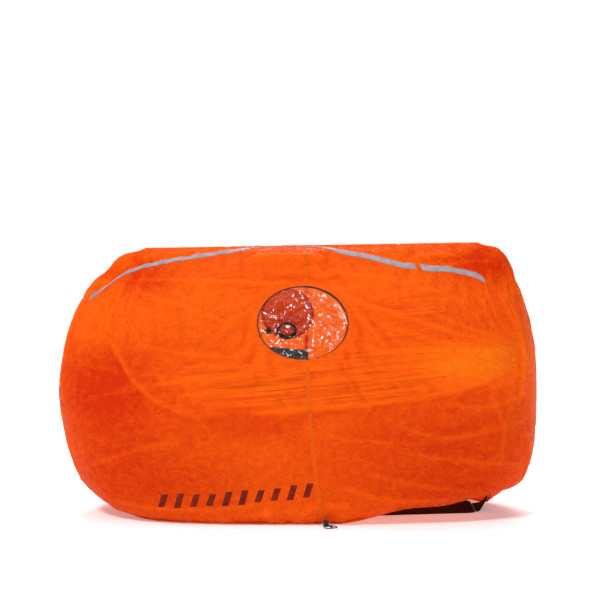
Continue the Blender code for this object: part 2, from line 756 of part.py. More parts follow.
# ---------------------------------------------------------------- assembly
def build():
    clear_scene()
    group = make_collection("group_shelter")
    cutters = make_collection("cutters")
    orange = make_material("ripstop_fabric", (1.0, 0.11, 0.008), 0.55)
    silver = make_material("reflective_strip", (0.50, 0.46, 0.49), 0.35)
    clear = make_material("clear_film", (0.95, 0.90, 0.88), 0.08, alpha=0.25)
    black = make_material("black_webbing", (0.02, 0.018, 0.018), 0.75)
    plastic = make_material("black_plastic", (0.018, 0.018, 0.020), 0.35)
    coated = make_material("black_coated_fabric", (0.022, 0.018, 0.018), 0.6)
    steel = make_material("spring_steel", (0.60, 0.60, 0.62), 0.3, metallic=1.0)

    walls = wall_columns()
    build_walls(group, cutters, orange, walls)
    build_roof(group, orange, walls)
    build_strips(group, silver, walls)
    build_tapes(group, orange)
    build_window(group, clear, black)
    mouth, inward = build_vent(group, orange, black)
    left, right = build_hem(group, orange, black)

    tail = smooth_route(tail_points(left, right), 56)
    cord("hem_cord_tail", tail, HEM_CORD_RADIUS, group, black)
    ring = smooth_route(vent_cord_points(mouth, inward), 48)
    cord("vent_drawcord", ring, VENT_CORD_RADIUS, group, black, resolution=1)
    hanging = smooth_route(vent_tail_points(mouth), 34)
    cord("vent_cord_tail", hanging, VENT_CORD_RADIUS, group, black, resolution=1)
    vent_lock = mouth - Vector((VENT_LOCK_OUT, 0.0, LOCK_CORD_HEIGHT))
    build_lock("vent", vent_lock, "X", group, cutters, plastic, plastic, steel)

    lock_place = Vector((0.5 * (left.x + right.x), left.y - LOCK_OUT, 0.0))
    build_lock("hem", lock_place, "Y", group, cutters, plastic, plastic, steel)

    build_mat("left", MAT_LEFT, SKIRT_LEFT, group, coated)
    build_mat("right", MAT_RIGHT, SKIRT_RIGHT, group, coated)


build()
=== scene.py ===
"""Looks of the group shelter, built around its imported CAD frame. Metres, +Z up, -Y is the front."""
import math

import bmesh
import bpy
import numpy as np
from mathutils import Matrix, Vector, noise
from mathutils.bvhtree import BVHTree


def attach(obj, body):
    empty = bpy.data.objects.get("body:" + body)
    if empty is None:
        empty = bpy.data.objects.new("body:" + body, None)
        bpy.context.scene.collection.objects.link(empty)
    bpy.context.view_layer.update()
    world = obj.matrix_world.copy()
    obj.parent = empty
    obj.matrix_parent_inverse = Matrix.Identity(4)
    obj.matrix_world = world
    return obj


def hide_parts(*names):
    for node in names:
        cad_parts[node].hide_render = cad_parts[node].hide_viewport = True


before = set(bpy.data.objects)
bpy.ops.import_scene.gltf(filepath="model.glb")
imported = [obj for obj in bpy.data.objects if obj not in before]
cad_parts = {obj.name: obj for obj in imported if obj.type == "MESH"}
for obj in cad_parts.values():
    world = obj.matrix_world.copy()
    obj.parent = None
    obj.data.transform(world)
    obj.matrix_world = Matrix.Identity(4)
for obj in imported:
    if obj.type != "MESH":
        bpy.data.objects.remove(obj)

TAU = 2.0 * math.pi
UP = np.array((0.0, 0.0, 1.0))
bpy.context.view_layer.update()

# ---------------------------------------------------------------- the fabric's form
# (height, reach to the left, reach to the right, half depth), from the hem to the ridge
STATIONS = np.array((
    (0.0046, 0.500, 0.600, 0.228),
    (0.035, 0.574, 0.640, 0.258),
    (0.100, 0.648, 0.690, 0.275),
    (0.210, 0.697, 0.722, 0.280),
    (0.360, 0.724, 0.725, 0.270),
    (0.500, 0.709, 0.716, 0.243),
    (0.605, 0.680, 0.697, 0.208),
    (0.690, 0.636, 0.671, 0.158),
    (0.757, 0.576, 0.643, 0.103),
    (0.795, 0.527, 0.609, 0.055),
    (0.8125, 0.460, 0.550, 0.0),
))
RIDGE = len(STATIONS) - 1
RIDGE_TILT = 0.017
WAIST_DEPTH = 0.30
WAIST_HALF_WIDTH = 0.30
HEM_LIFT = 0.060
CENTRE_SEAM = math.radians(-87.6)
SEAM_LEAN = math.radians(4.2)
SEAM_LEAN_REACH = math.radians(26.0)
CORNER_RIGHT = math.radians(40.0)
CORNER_LEFT = math.radians(146.0)
FRONT_SEAM = np.array((
    (-0.60, 0.672), (-0.53, 0.727), (-0.44, 0.763), (-0.25, 0.792), (-0.10, 0.803),
    (0.05, 0.805), (0.16, 0.796), (0.34, 0.760), (0.50, 0.744), (0.62, 0.690),
))
BACK_SEAM_HEIGHT = 0.712
END_SEAM_HEIGHT = 0.680
WINDOW_CENTRE = (0.017, 0.590)
WINDOW_HALF = (0.132, 0.103)
WINDOW_OUT = np.array((0.0, -0.86, 0.50))       # the way the window faces
VENT_X, VENT_Z = -0.030, 0.590
VENT_RADIUS = 0.075
HEM_CORD_RADIUS = 0.0014
VENT_CORD_RADIUS = 0.00125
EXIT_X = 0.085
EXIT_HALF_GAP = 0.011

FINE = 0.0052                   # spacing of the finished fabric mesh
FAR = 9.0                       # stands for any distance too far to matter


def catmull(table, u):
    """Smooth curve through the rows of a table; u counts rows and may be an array."""
    table = np.asarray(table, float)
    u = np.clip(np.asarray(u, float), 0.0, len(table) - 1.0)
    i = np.minimum(u.astype(int), len(table) - 2)
    f = (u - i)[..., None]
    padded = np.vstack((2 * table[0] - table[1], table, 2 * table[-1] - table[-2]))
    p0, p1, p2, p3 = padded[i], padded[i + 1], padded[i + 2], padded[i + 3]
    return 0.5 * (2 * p1 + (p2 - p0) * f + (2 * p0 - 5 * p1 + 4 * p2 - p3) * f ** 2
                  + (3 * p1 - p0 - 3 * p2 + p3) * f ** 3)


def smoothstep(low, high, value):
    f = np.clip((np.asarray(value, float) - low) / (high - low), 0.0, 1.0)
    return f * f * (3.0 - 2.0 * f)


def distances(points):
    """Distance of each point from the first, along a row of points."""
    steps = np.linalg.norm(np.diff(points, axis=0), axis=1)
    return np.concatenate(([0.0], np.cumsum(steps)))


def column_distances(points):
    """The same along many rows of points at once, given as points[row, place, axis]."""
    steps = np.linalg.norm(np.diff(points, axis=1), axis=2)
    return np.concatenate((np.zeros((len(points), 1)), np.cumsum(steps, axis=1)), axis=1)


def points_at(points, at):
    """Points at the given distances along a row of points."""
    points = np.asarray(points)
    along = distances(points)
    return np.stack([np.interp(at, along, column) for column in points.T], axis=1)


def unit(vectors):
    """The same directions with length 1: of one vector, or of one in each row."""
    if vectors.ndim == 1:
        return vectors / np.linalg.norm(vectors)
    return vectors / np.linalg.norm(vectors, axis=1)[:, None]


def round_angles(count):
    return TAU * np.arange(count) / count


def patch(x, z, middle, reach):
    """A soft patch: 1 in its middle, fading away over its reach in X and in Z."""
    return np.exp(-((x - middle[0]) / reach[0]) ** 2 - ((z - middle[1]) / reach[1]) ** 2)


def skin(turn, u):
    """Points of the smooth skin: turn is the direction round Z, u the height in stations."""
    turn, u = np.broadcast_arrays(np.asarray(turn, float), np.asarray(u, float))
    row = catmull(STATIONS, u)
    height, left, right, depth = (row[..., k] for k in range(4))
    depth = np.maximum(depth, 0.0)
    from_front = (np.mod(turn + math.pi / 2 + math.pi, TAU) - math.pi) / SEAM_LEAN_REACH
    turn = turn + SEAM_LEAN * np.exp(-from_front ** 2) * smoothstep(5.0, 0.0, u)
    c, s = np.cos(turn), np.sin(turn)
    at_hem = np.where((c > 0) & (s < 0), 2.3, 3.2)
    n = at_hem + (2.9 - at_hem) * smoothstep(0.0, 2.0, u)
    n = n + (2.3 - 2.9) * smoothstep(5.0, RIDGE, u)
    reach = (np.abs(c) ** n + np.abs(s) ** n) ** (-1.0 / n)
    x = reach * c * np.where(c > 0, right, left)
    waist = WAIST_DEPTH * np.exp(-(x / WAIST_HALF_WIDTH) ** 2) * smoothstep(0.36, 0.72, height)
    y = reach * s * depth * (1.0 - waist)
    z = height + RIDGE_TILT * x * smoothstep(0.45, 0.75, height)
    lift = 0.7 * smoothstep(0.11, 0.36, x) + 0.3 * smoothstep(0.40, 0.58, x)
    lift = lift * smoothstep(0.45, -0.1, s) * ((s < 0.45) & (c > 0))
    z = z + HEM_LIFT * lift * smoothstep(3.0, 0.0, u)
    return np.stack((x, y, z), axis=-1)


def bisect(low, high, below):
    """Arrays low and high close in on where below(middle) turns false."""
    low, high = np.array(low, float), np.array(high, float)
    for _ in range(36):
        middle = 0.5 * (low + high)
        under = below(middle)
        low = np.where(under, middle, low)
        high = np.where(under, high, middle)
    return 0.5 * (low + high)


def station_at(turn, z):
    turn = np.asarray(turn, float)
    low, high = np.zeros_like(turn), np.full_like(turn, RIDGE)
    return bisect(low, high, lambda u: skin(turn, u)[..., 2] < z)


def turn_at(x, u, front=True):
    sign = -1.0 if front else 1.0
    x = np.asarray(x, float)
    low = np.full_like(x, math.radians(1.0))
    high = np.full_like(x, math.radians(179.0))
    return sign * bisect(low, high, lambda t: skin(sign * t, u)[..., 0] > x)


def skin_at(x, z, front=True):
    """Points of the front or back wall above places given by X and Z."""
    x, z = np.broadcast_arrays(np.asarray(x, float), np.asarray(z, float))
    turn = np.full(x.shape, -math.pi / 2 if front else math.pi / 2)
    u = station_at(turn, z)
    for _ in range(5):
        turn = turn_at(x, u, front)
        u = station_at(turn, z)
    return skin(turn, u)


def front_seam_height(x):
    row = np.interp(x, FRONT_SEAM[:, 0], np.arange(len(FRONT_SEAM)))
    return catmull(FRONT_SEAM, row)[..., 1]


def seam_station(turn):
    """The u of the roof seam in each direction round Z."""
    turn = np.asarray(turn, float)
    s = np.sin(turn)
    side = smoothstep(0.0, 0.55, np.abs(s))

    def below_front(u):
        point = skin(turn, u)
        return point[..., 2] < front_seam_height(point[..., 0])

    front = bisect(np.full_like(turn, 3.0), np.full_like(turn, RIDGE), below_front)
    back = station_at(turn, BACK_SEAM_HEIGHT + RIDGE_TILT * skin(turn, 8.0)[..., 0])
    end = station_at(turn, END_SEAM_HEIGHT)
    return end + (np.where(s < 0, front, back) - end) * side


# ---------------------------------------------------------------- camera
def make_camera():
    """A long lens a little above the window, 5 m in front of the shelter."""
    data = bpy.data.cameras.new("camera")
    data.sensor_width = 36.0
    data.lens = 98.46
    camera = bpy.data.objects.new("camera", data)
    bpy.context.scene.collection.objects.link(camera)
    camera.location = (0.009, -5.0, 1.0)
    aim = Vector((0.009, 0.0, 0.646)) - camera.location
    camera.rotation_euler = aim.to_track_quat("-Z", "Y").to_euler()
    bpy.context.scene.camera = camera


# ---------------------------------------------------------------- materials
class Nodes:
    """A small helper that builds a material's node tree."""

    def __init__(self, name):
        self.material = bpy.data.materials.new(name)
        self.material.use_nodes = True
        self.tree = self.material.node_tree
        self.shader = self.tree.nodes["Principled BSDF"]
        self.output = self.tree.nodes["Material Output"]

    def add(self, kind, inputs=None, **settings):
        node = self.tree.nodes.new(kind)
        for key, value in settings.items():
            setattr(node, key, value)
        for key, value in (inputs or {}).items():
            if isinstance(value, bpy.types.NodeSocket):
                self.tree.links.new(value, node.inputs[key])
            else:
                node.inputs[key].default_value = value
        return node

    def place(self):
        """Object coordinates, in metres."""
        return self.add("ShaderNodeTexCoord").outputs["Object"]

    def cells(self, place, scale, feature="F1"):
        """Distance from the middle of the nearest cell, or from its edge."""
        return self.add("ShaderNodeTexVoronoi", {"Vector": place, "Scale": scale},
                        feature=feature).outputs["Distance"]

    def math(self, operation, first, second=0.0):
        return self.add("ShaderNodeMath", {0: first, 1: second}, operation=operation).outputs[0]

    def plus(self, first, second):
        return self.math("ADD", first, second)

    def times(self, first, second):
        return self.math("MULTIPLY", first, second)

    def clamp(self, value):
        return self.math("MAXIMUM", self.math("MINIMUM", value, 1.0), 0.0)

    def noise(self, place, scale, detail=3.0, roughness=0.5):
        inputs = {"Vector": place, "Scale": scale, "Detail": detail, "Roughness": roughness}
        return self.add("ShaderNodeTexNoise", inputs).outputs["Fac"]

    def mix(self, share, first, second):
        node = self.add("ShaderNodeMix", data_type="RGBA")
        for index, value in ((0, share), (6, first), (7, second)):
            if isinstance(value, bpy.types.NodeSocket):
                self.tree.links.new(value, node.inputs[index])
            elif index:
                node.inputs[index].default_value = (*value, 1.0)
            else:
                node.inputs[index].default_value = value
        return node.outputs[2]

    def ramp(self, value, low, high):
        """value from low to high, drawn out to 0 to 1."""
        return self.add("ShaderNodeMapRange", {
            "Value": value, "From Min": low, "From Max": high}).outputs[0]

    def bump(self, height, strength, distance, below=None):
        inputs = {"Height": height, "Strength": strength, "Distance": distance}
        if below is not None:
            inputs["Normal"] = below
        return self.add("ShaderNodeBump", inputs).outputs[0]

    def set(self, **values):
        for key, value in values.items():
            socket = self.shader.inputs[key.replace("_", " ")]
            if isinstance(value, bpy.types.NodeSocket):
                self.tree.links.new(value, socket)
            else:
                socket.default_value = value


def thread_grid(n, uv, pitch, width):
    """1 on the thicker threads of a ripstop weave, 0 between them."""
    parts = n.add("ShaderNodeSeparateXYZ", {0: uv})
    lines = []
    for axis in (0, 1):
        place = n.math("FRACT", n.math("DIVIDE", parts.outputs[axis], pitch))
        lines.append(n.math("LESS_THAN", place, width / pitch))
    return n.math("MAXIMUM", lines[0], lines[1])


def stretched_noise(n, place, stretch, detail=4.0, roughness=0.6):
    """Noise drawn out into streaks."""
    long = n.add("ShaderNodeVectorMath", {0: place, 1: stretch}, operation="MULTIPLY").outputs[0]
    return n.noise(long, 1.0, detail, roughness)


def crease_lines(n, place, stretch, thin=5.0):
    """Thin sharp lines, drawn out in one direction: the middles of a warped noise."""
    value = stretched_noise(n, place, stretch, 2.0, 0.55)
    off = n.math("ABSOLUTE", n.math("SUBTRACT", value, 0.5))
    return n.math("POWER", n.math("MAXIMUM", n.math("SUBTRACT", 1.0, n.times(off, 4.0)), 0.0), thin)


def ripstop_material(name, colour, deep, sheer=0.24, shine=0.3):
    """Thin coated nylon: thread grid, streaks where it is pulled, drawn as bumps and as painted
    highlight and painted shade lines in the colour, patches of painted shade and painted light,
    and a soft gloss. Attribute pull is 1 where streaks run along the cover and -1 where they run
    down it; the painted-shade attribute darkens the cloth towards deep with painted shade, or
    below 0 lights it with painted light."""
    n = Nodes(name)
    place = n.place()
    uv = n.add("ShaderNodeUVMap", uv_map="cloth").outputs["UV"]
    grid = thread_grid(n, uv, 0.005, 0.0006)
    behind = n.add("ShaderNodeAttribute", attribute_name="painted_light_and_shade").outputs["Fac"]
    pull = n.add("ShaderNodeAttribute", attribute_name="pull").outputs["Fac"]
    level = n.math("MAXIMUM", pull, 0.0)
    steep = n.math("MAXIMUM", n.times(pull, -1.0), 0.0)
    free = n.math("SUBTRACT", 1.0, n.math("ABSOLUTE", pull))
    tilted = n.add("ShaderNodeMapping", {"Vector": place, "Rotation": (0.0, 0.09, 0.0)}).outputs[0]
    streaks = n.ramp(stretched_noise(n, tilted, (5.0, 5.0, 120.0)), 0.28, 0.72)
    along = n.plus(crease_lines(n, tilted, (2.0, 2.0, 48.0)), n.times(streaks, 0.55))
    along = n.plus(along, n.times(crease_lines(n, tilted, (0.9, 0.9, 64.0), 6.0), -0.8))
    streaks = n.ramp(stretched_noise(n, place, (105.0, 105.0, 6.0)), 0.28, 0.72)
    down = n.plus(n.times(crease_lines(n, place, (40.0, 40.0, 3.0)), 1.2), n.times(streaks, 0.55))
    grain = n.ramp(n.noise(place, 120.0, 5.0, 0.62), 0.30, 0.70)
    crinkle = n.plus(n.times(crease_lines(n, place, (30.0, 30.0, 44.0)), 0.8), n.times(grain, 0.55))
    weighted = n.plus(n.times(along, level), n.times(down, steep))
    creases = n.plus(weighted, n.times(crinkle, free))
    cloudy = n.ramp(n.noise(place, 7.0, 4.0), 0.30, 0.70)
    # cloudy is random tone; the creases make the colour lighter along some lines and darker along
    # others: painted highlight and painted shade over their bumps
    tone = n.plus(n.times(cloudy, 0.08), n.times(creases, -0.38))
    # behind carries the painted shade and painted light of the attribute
    tone = n.clamp(n.plus(n.plus(tone, 0.42), behind))
    # well below 0 the colour turns to a lighter, warmer orange: painted light
    painted_light_share = n.clamp(n.times(n.plus(behind, 0.35), -1.6))
    painted_light_colour = (colour[0], 1.5 * colour[1], 1.2 * colour[2])
    hue = n.mix(painted_light_share, n.mix(tone, colour, deep), painted_light_colour)
    threads = n.mix(n.times(grid, 0.16), hue, tuple(0.7 * v for v in deep))
    fine = n.bump(n.noise(place, 900.0, 2.0), 0.12, 0.0004)
    creased = n.bump(creases, 0.90, 0.0042, fine)
    normal = n.bump(grid, 0.25, 0.0003, creased)
    n.set(Base_Color=threads, Roughness=0.36, IOR=1.12, Specular_IOR_Level=shine, Normal=normal)
    glow = n.mix(0.55, threads, (1.0, 0.27, 0.02))
    back = n.add("ShaderNodeBsdfTranslucent", {"Color": glow, "Normal": normal})
    both = n.add("ShaderNodeMixShader", {0: sheer, 1: n.shader.outputs[0], 2: back.outputs[0]})
    n.tree.links.new(both.outputs[0], n.output.inputs["Surface"])
    return n.material


def strip_material():
    """Retroreflective tape: grey fabric covered with tiny glass beads, worn in places."""
    n = Nodes("reflective_tape")
    place = n.place()
    beads = n.cells(place, 1400.0)
    worn = n.ramp(n.noise(place, 46.0, 5.0, 0.6), 0.40, 0.72)
    colour = n.mix(worn, (0.35, 0.30, 0.335), (0.25, 0.205, 0.235))
    normal = n.bump(beads, 0.35, 0.0003, n.bump(n.noise(place, 110.0, 3.0), 0.3, 0.0015))
    n.set(Base_Color=colour, Roughness=0.55, Metallic=0.05, Normal=normal,
          Specular_IOR_Level=0.2, Sheen_Weight=0.1, Sheen_Roughness=0.3)
    return n.material


def film_material():
    """Clear film, crumpled, with small sharp glints."""
    n = Nodes("clear_film")
    place = n.place()
    facets = n.cells(place, 62.0, "DISTANCE_TO_EDGE")
    ripple = n.noise(place, 160.0, 4.0, 0.65)
    normal = n.bump(facets, 0.45, 0.004, n.bump(ripple, 0.25, 0.003))
    n.set(Base_Color=(1.0, 0.97, 0.95, 1.0), Roughness=0.02, Alpha=0.028, Normal=normal,
          Metallic=1.0)
    return n.material


def woven_material(name, colour, pitch, roughness=0.7):
    """Narrow woven tape or braid: diagonal ribs and a little fluff."""
    n = Nodes(name)
    place = n.place()
    ribs = n.add("ShaderNodeTexWave", {"Vector": place, "Scale": 0.5 / pitch, "Distortion": 2.0},
                 bands_direction="DIAGONAL").outputs["Fac"]
    fluff = n.noise(place, 700.0, 3.0)
    shade = n.mix(n.times(fluff, 0.8), colour, tuple(min(1.0, 2.4 * v) for v in colour))
    n.set(Base_Color=shade, Roughness=roughness, Sheen_Weight=0.08, Specular_IOR_Level=0.3,
          Normal=n.bump(ribs, 0.5, 0.0004, n.bump(fluff, 0.2, 0.0003)))
    return n.material


def coated_material():
    """Black coated seat fabric: fine weave under a slightly shiny, scuffed coat."""
    n = Nodes("coated_seat_fabric")
    place = n.place()
    weave = n.cells(place, 1100.0)
    scuffs = n.ramp(n.noise(place, 30.0, 6.0, 0.7), 0.45, 0.80)
    colour = n.mix(scuffs, (0.007, 0.006, 0.006), (0.018, 0.015, 0.015))
    creases = n.noise(place, 55.0, 5.0, 0.6)
    n.set(Base_Color=colour, Roughness=0.55, IOR=1.1, Specular_IOR_Level=0.3,
          Normal=n.bump(weave, 0.3, 0.0003, n.bump(creases, 0.35, 0.003)))
    return n.material


def plastic_material():
    n = Nodes("moulded_black_plastic")
    place = n.place()
    grain = n.cells(place, 2200.0)
    wear = n.ramp(n.noise(place, 260.0, 4.0), 0.5, 0.8)
    n.set(Base_Color=n.mix(wear, (0.014, 0.014, 0.016), (0.030, 0.030, 0.032)),
          Roughness=0.36, Normal=n.bump(grain, 0.15, 0.0002))
    return n.material


def steel_material():
    n = Nodes("spring_steel")
    place = n.place()
    drawn = n.noise(place, 3000.0, 2.0)
    n.set(Base_Color=(0.55, 0.55, 0.57, 1.0), Metallic=1.0, Roughness=0.28,
          Normal=n.bump(drawn, 0.1, 0.0001))
    return n.material


# ---------------------------------------------------------------- mesh helpers
def add_piece(name, points, faces, material, body="shelter", smooth=True):
    mesh = bpy.data.meshes.new(name)
    mesh.from_pydata([tuple(p) for p in points], [], faces)
    mesh.materials.append(material)
    if smooth:
        mesh.shade_smooth()
    piece = bpy.data.objects.new(name, mesh)
    bpy.context.scene.collection.objects.link(piece)
    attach(piece, body)
    return piece


def grid_faces(rows, columns, wrap=False):
    """Faces of a grid of points stored row by row; wrap joins the last column to the first."""
    faces = []
    last = columns if wrap else columns - 1
    for i in range(rows - 1):
        for j in range(last):
            k = (j + 1) % columns
            faces.append((i * columns + j, i * columns + k,
                          (i + 1) * columns + k, (i + 1) * columns + j))
    return faces


def closed_faces(count, sides):
    """Faces of a tube whose last ring of points joins the first."""
    start = (count - 1) * sides
    last = [(start + m, start + (m + 1) % sides, (m + 1) % sides, m) for m in range(sides)]
    return grid_faces(count, sides, wrap=True) + last


def tube(points, radius, sides):
    """Points and faces of a tube along a route, with flat ends."""
    route = np.array(points, float)
    ahead = unit(np.gradient(route, axis=0))
    side = np.cross(ahead[0], (0.0, 0.0, 1.0))
    if np.linalg.norm(side) < 0.1:
        side = np.cross(ahead[0], (1.0, 0.0, 0.0))
    rings = []
    angles = round_angles(sides)
    radii = np.broadcast_to(radius, len(route))
    for place, along, r in zip(route, ahead, radii):
        side = unit(side - along * np.dot(side, along))
        up = np.cross(along, side)
        rings.append(place + r * (np.outer(np.cos(angles), side) + np.outer(np.sin(angles), up)))
    count = len(route)
    faces = grid_faces(count, sides, wrap=True)
    faces += [tuple(range(sides))[::-1], tuple(range((count - 1) * sides, count * sides))]
    return np.concatenate(rings), faces


def smooth_route(points, count):
    """count points, evenly spaced, on a smooth curve through the given points."""
    fine = catmull(points, np.linspace(0, len(points) - 1, 601))
    return points_at(fine, np.linspace(0.0, distances(fine)[-1], count))


def wander(values, scale, seed):
    """Smooth noise from -1 to 1 along a row of values."""
    return np.array([noise.noise((v * scale, seed, 0.37)) for v in np.ravel(values)]) \
        .reshape(np.shape(values)) * 1.6


# ---------------------------------------------------------------- the cover as one grid
class Cover:
    """Columns run round Z from the right end, rows from the hem over the roof seam to the ridge."""

    wall_rows = 166
    roof_rows = 22

    def __init__(self):
        arc = self.half_round()
        self.turns = np.concatenate((arc, TAU - arc[-2:0:-1]))
        self.count = len(self.turns)
        self.seam_u = seam_station(self.turns)
        wall = self.rows_between(np.zeros(self.count), self.seam_u, self.wall_rows)
        roof = self.rows_between(self.seam_u, np.full(self.count, float(RIDGE)), self.roof_rows)
        self.u = np.concatenate((wall, roof[:, 1:]), axis=1)
        self.rows = self.u.shape[1]
        self.base = skin(self.turns[:, None], self.u)
        self.points = self.base.copy()

    def half_round(self):
        """Directions from 0 to 180 degrees, evenly spaced along the wall between its seams."""
        corners = (0.0, CORNER_RIGHT, -CENTRE_SEAM, CORNER_LEFT, math.pi)
        turns = [np.zeros(1)]
        self.corner_columns = [0]
        for start, end in zip(corners, corners[1:]):
            fine = np.linspace(start, end, 200)
            along = distances(skin(fine, 4.0))
            parts = 2 * max(1, round(along[-1] / (2.0 * FINE)))
            turns.append(np.interp(np.linspace(0, along[-1], parts + 1), along, fine)[1:])
            self.corner_columns.append(self.corner_columns[-1] + parts)
        return np.concatenate(turns)

    def rows_between(self, low, high, rows):
        """The u of evenly spaced rows on each column, from low to high."""
        share = np.linspace(0.0, 1.0, 60)
        u = low[:, None] + (high - low)[:, None] * share
        along = column_distances(skin(self.turns[:, None], u))
        return np.array([np.interp(np.linspace(0.0, a[-1], rows + 1), a, v)
                         for a, v in zip(along, u)])

    def column(self, corner, front=False):
        """Column of a seam: corner 1 is at the right, 2 at the centre, 3 at the left."""
        place = self.corner_columns[corner]
        return self.count - place if front else place

    def normals(self, points=None):
        points = self.points if points is None else points
        across = np.roll(points, -1, axis=0) - np.roll(points, 1, axis=0)
        up = np.gradient(points, axis=1)
        normal = np.cross(across, up)
        normal[:, -1] = normal[:, -2]
        return normal / np.maximum(np.linalg.norm(normal, axis=2), 1e-12)[..., None]

    def heights_along(self):
        """Distance of each point from the hem and from the roof seam, along its column."""
        along = column_distances(self.base)
        return along, along - along[:, self.wall_rows][:, None]

    def round_along(self):
        """Distance of each column round the cover, at mid height."""
        return distances(self.base[:, self.wall_rows // 2])


def facing(points_turn):
    """Share of a point that belongs to the front wall, from its direction round Z."""
    return smoothstep(-0.04, -0.22, np.sin(points_turn))


# Folds of the front wall: points (X, Z) along the crest, height, and how far the fold falls
# away above and below the crest.
FRONT_FOLDS = (
    (((-0.68, 0.350), (-0.45, 0.408), (-0.28, 0.427), (0.096, 0.453), (0.25, 0.470)),
     0.0065, 0.050, 0.014),
    (((-0.20, 0.330), (0.10, 0.351), (0.39, 0.386), (0.52, 0.415), (0.66, 0.470)),
     0.0090, 0.055, 0.012),
    (((-0.42, 0.380), (0.0, 0.397), (0.44, 0.425)), 0.0030, 0.009, 0.007),
    (((-0.34, 0.356), (0.10, 0.374), (0.40, 0.406)), 0.0030, 0.008, 0.006),
    (((-0.16, 0.412), (0.14, 0.424), (0.46, 0.446)), 0.0026, 0.008, 0.006),
    (((-0.30, 0.338), (-0.05, 0.344), (0.16, 0.362)), 0.0022, 0.007, 0.005),
    (((0.15, 0.500), (0.42, 0.516), (0.67, 0.505)), 0.0055, 0.022, 0.020),
    (((0.12, 0.672), (0.39, 0.588), (0.69, 0.490)), 0.0050, 0.012, 0.016),
    (((0.30, 0.660), (0.48, 0.588), (0.69, 0.510)), 0.0042, 0.010, 0.014),
    (((0.20, 0.600), (0.42, 0.540), (0.66, 0.490)), 0.0030, 0.010, 0.010),
    (((0.10, 0.735), (0.30, 0.712), (0.55, 0.640)), 0.0034, 0.010, 0.012),
    (((-0.54, 0.712), (-0.35, 0.716), (-0.12, 0.706), (0.08, 0.700)), 0.0034, 0.005, 0.012),
    (((-0.52, 0.690), (-0.34, 0.640), (-0.14, 0.570)), 0.0022, 0.010, 0.008),
    (((-0.50, 0.540), (-0.34, 0.508), (-0.10, 0.488)), 0.0022, 0.008, 0.010),
    (((-0.36, 0.470), (-0.20, 0.468), (0.02, 0.476)), 0.0026, 0.006, 0.008),
    (((-0.64, 0.470), (-0.50, 0.452), (-0.36, 0.440)), 0.0018, 0.008, 0.008),
    (((0.24, 0.318), (0.44, 0.262), (0.69, 0.306)), 0.0046, 0.014, 0.020),
    (((0.10, 0.120), (0.32, 0.078), (0.58, 0.096)), 0.0034, 0.008, 0.012),
    (((0.42, 0.372), (0.55, 0.350), (0.70, 0.388)), 0.0030, 0.010, 0.012),
    (((0.06, 0.268), (0.24, 0.252), (0.44, 0.244)), 0.0024, 0.005, 0.012),
    (((0.28, 0.226), (0.48, 0.196), (0.68, 0.172)), 0.0028, 0.006, 0.014),
    (((0.18, 0.168), (0.36, 0.126), (0.56, 0.092)), 0.0026, 0.006, 0.014),
    (((-0.66, 0.150), (-0.48, 0.222), (-0.30, 0.262)), 0.0026, 0.008, 0.012),
    (((-0.58, 0.070), (-0.36, 0.050), (-0.10, 0.062)), 0.0026, 0.008, 0.010),
    (((-0.50, 0.772), (-0.36, 0.792), (-0.22, 0.806)), 0.0028, 0.007, 0.007),
    (((0.32, 0.778), (0.45, 0.788), (0.56, 0.790)), 0.0030, 0.006, 0.006),
    (((0.42, 0.752), (0.52, 0.768), (0.62, 0.762)), 0.0034, 0.006, 0.007),
    (((-0.17, 0.776), (-0.05, 0.781), (0.10, 0.778)), 0.0100, 0.012, 0.030),
)
# steep folds: the same, with how far they fall away to the right and to the left
FRONT_STEEP_FOLDS = (
    (((-0.560, 0.560), (-0.474, 0.428), (-0.384, 0.357), (-0.270, 0.312)), 0.0085, 0.022, 0.012),
    (((-0.510, 0.715), (-0.548, 0.630), (-0.566, 0.560)), 0.0030, 0.007, 0.010),
    (((-0.466, 0.715), (-0.496, 0.640), (-0.520, 0.585)), 0.0026, 0.006, 0.009),
    (((0.600, 0.690), (0.640, 0.600), (0.665, 0.520)), 0.0036, 0.010, 0.014),
    (((0.560, 0.400), (0.610, 0.280), (0.590, 0.150)), 0.0030, 0.020, 0.020),
)
BACK_FOLDS = (
    (((-0.66, 0.430), (-0.30, 0.455), (0.10, 0.430), (0.60, 0.470)), 0.0075, 0.045, 0.016),
    (((-0.62, 0.300), (-0.20, 0.340), (0.30, 0.320), (0.68, 0.380)), 0.0060, 0.030, 0.016),
    (((-0.58, 0.660), (-0.32, 0.600), (-0.12, 0.560)), 0.0036, 0.012, 0.012),
    (((0.07, 0.610), (0.30, 0.650), (0.60, 0.680)), 0.0036, 0.012, 0.012),
    (((0.06, 0.540), (0.34, 0.510), (0.66, 0.470)), 0.0036, 0.014, 0.012),
    (((-0.64, 0.520), (-0.38, 0.530), (-0.14, 0.520)), 0.0030, 0.012, 0.010),
    (((-0.60, 0.180), (-0.30, 0.150), (0.05, 0.190)), 0.0040, 0.016, 0.018),
    (((0.10, 0.150), (0.40, 0.120), (0.68, 0.170)), 0.0040, 0.016, 0.018),
    (((-0.40, 0.240), (0.0, 0.250), (0.35, 0.235)), 0.0028, 0.012, 0.010),
    (((-0.50, 0.080), (0.0, 0.070), (0.50, 0.085)), 0.0026, 0.010, 0.010),
)
# folds of the two ends: points (Y, Z) down the end, height, fall to either side
END_FOLDS = (
    (((-0.10, 0.700), (-0.13, 0.520), (-0.17, 0.340)), 0.0045, 0.016, 0.012),
    (((-0.02, 0.690), (-0.03, 0.500), (-0.02, 0.300), (0.02, 0.140)), 0.0040, 0.018, 0.014),
    (((0.06, 0.700), (0.09, 0.520), (0.13, 0.330)), 0.0045, 0.014, 0.016),
    (((-0.16, 0.300), (-0.12, 0.180), (-0.10, 0.070)), 0.0035, 0.014, 0.014),
    (((0.10, 0.280), (0.10, 0.160), (0.07, 0.060)), 0.0035, 0.014, 0.014),
)


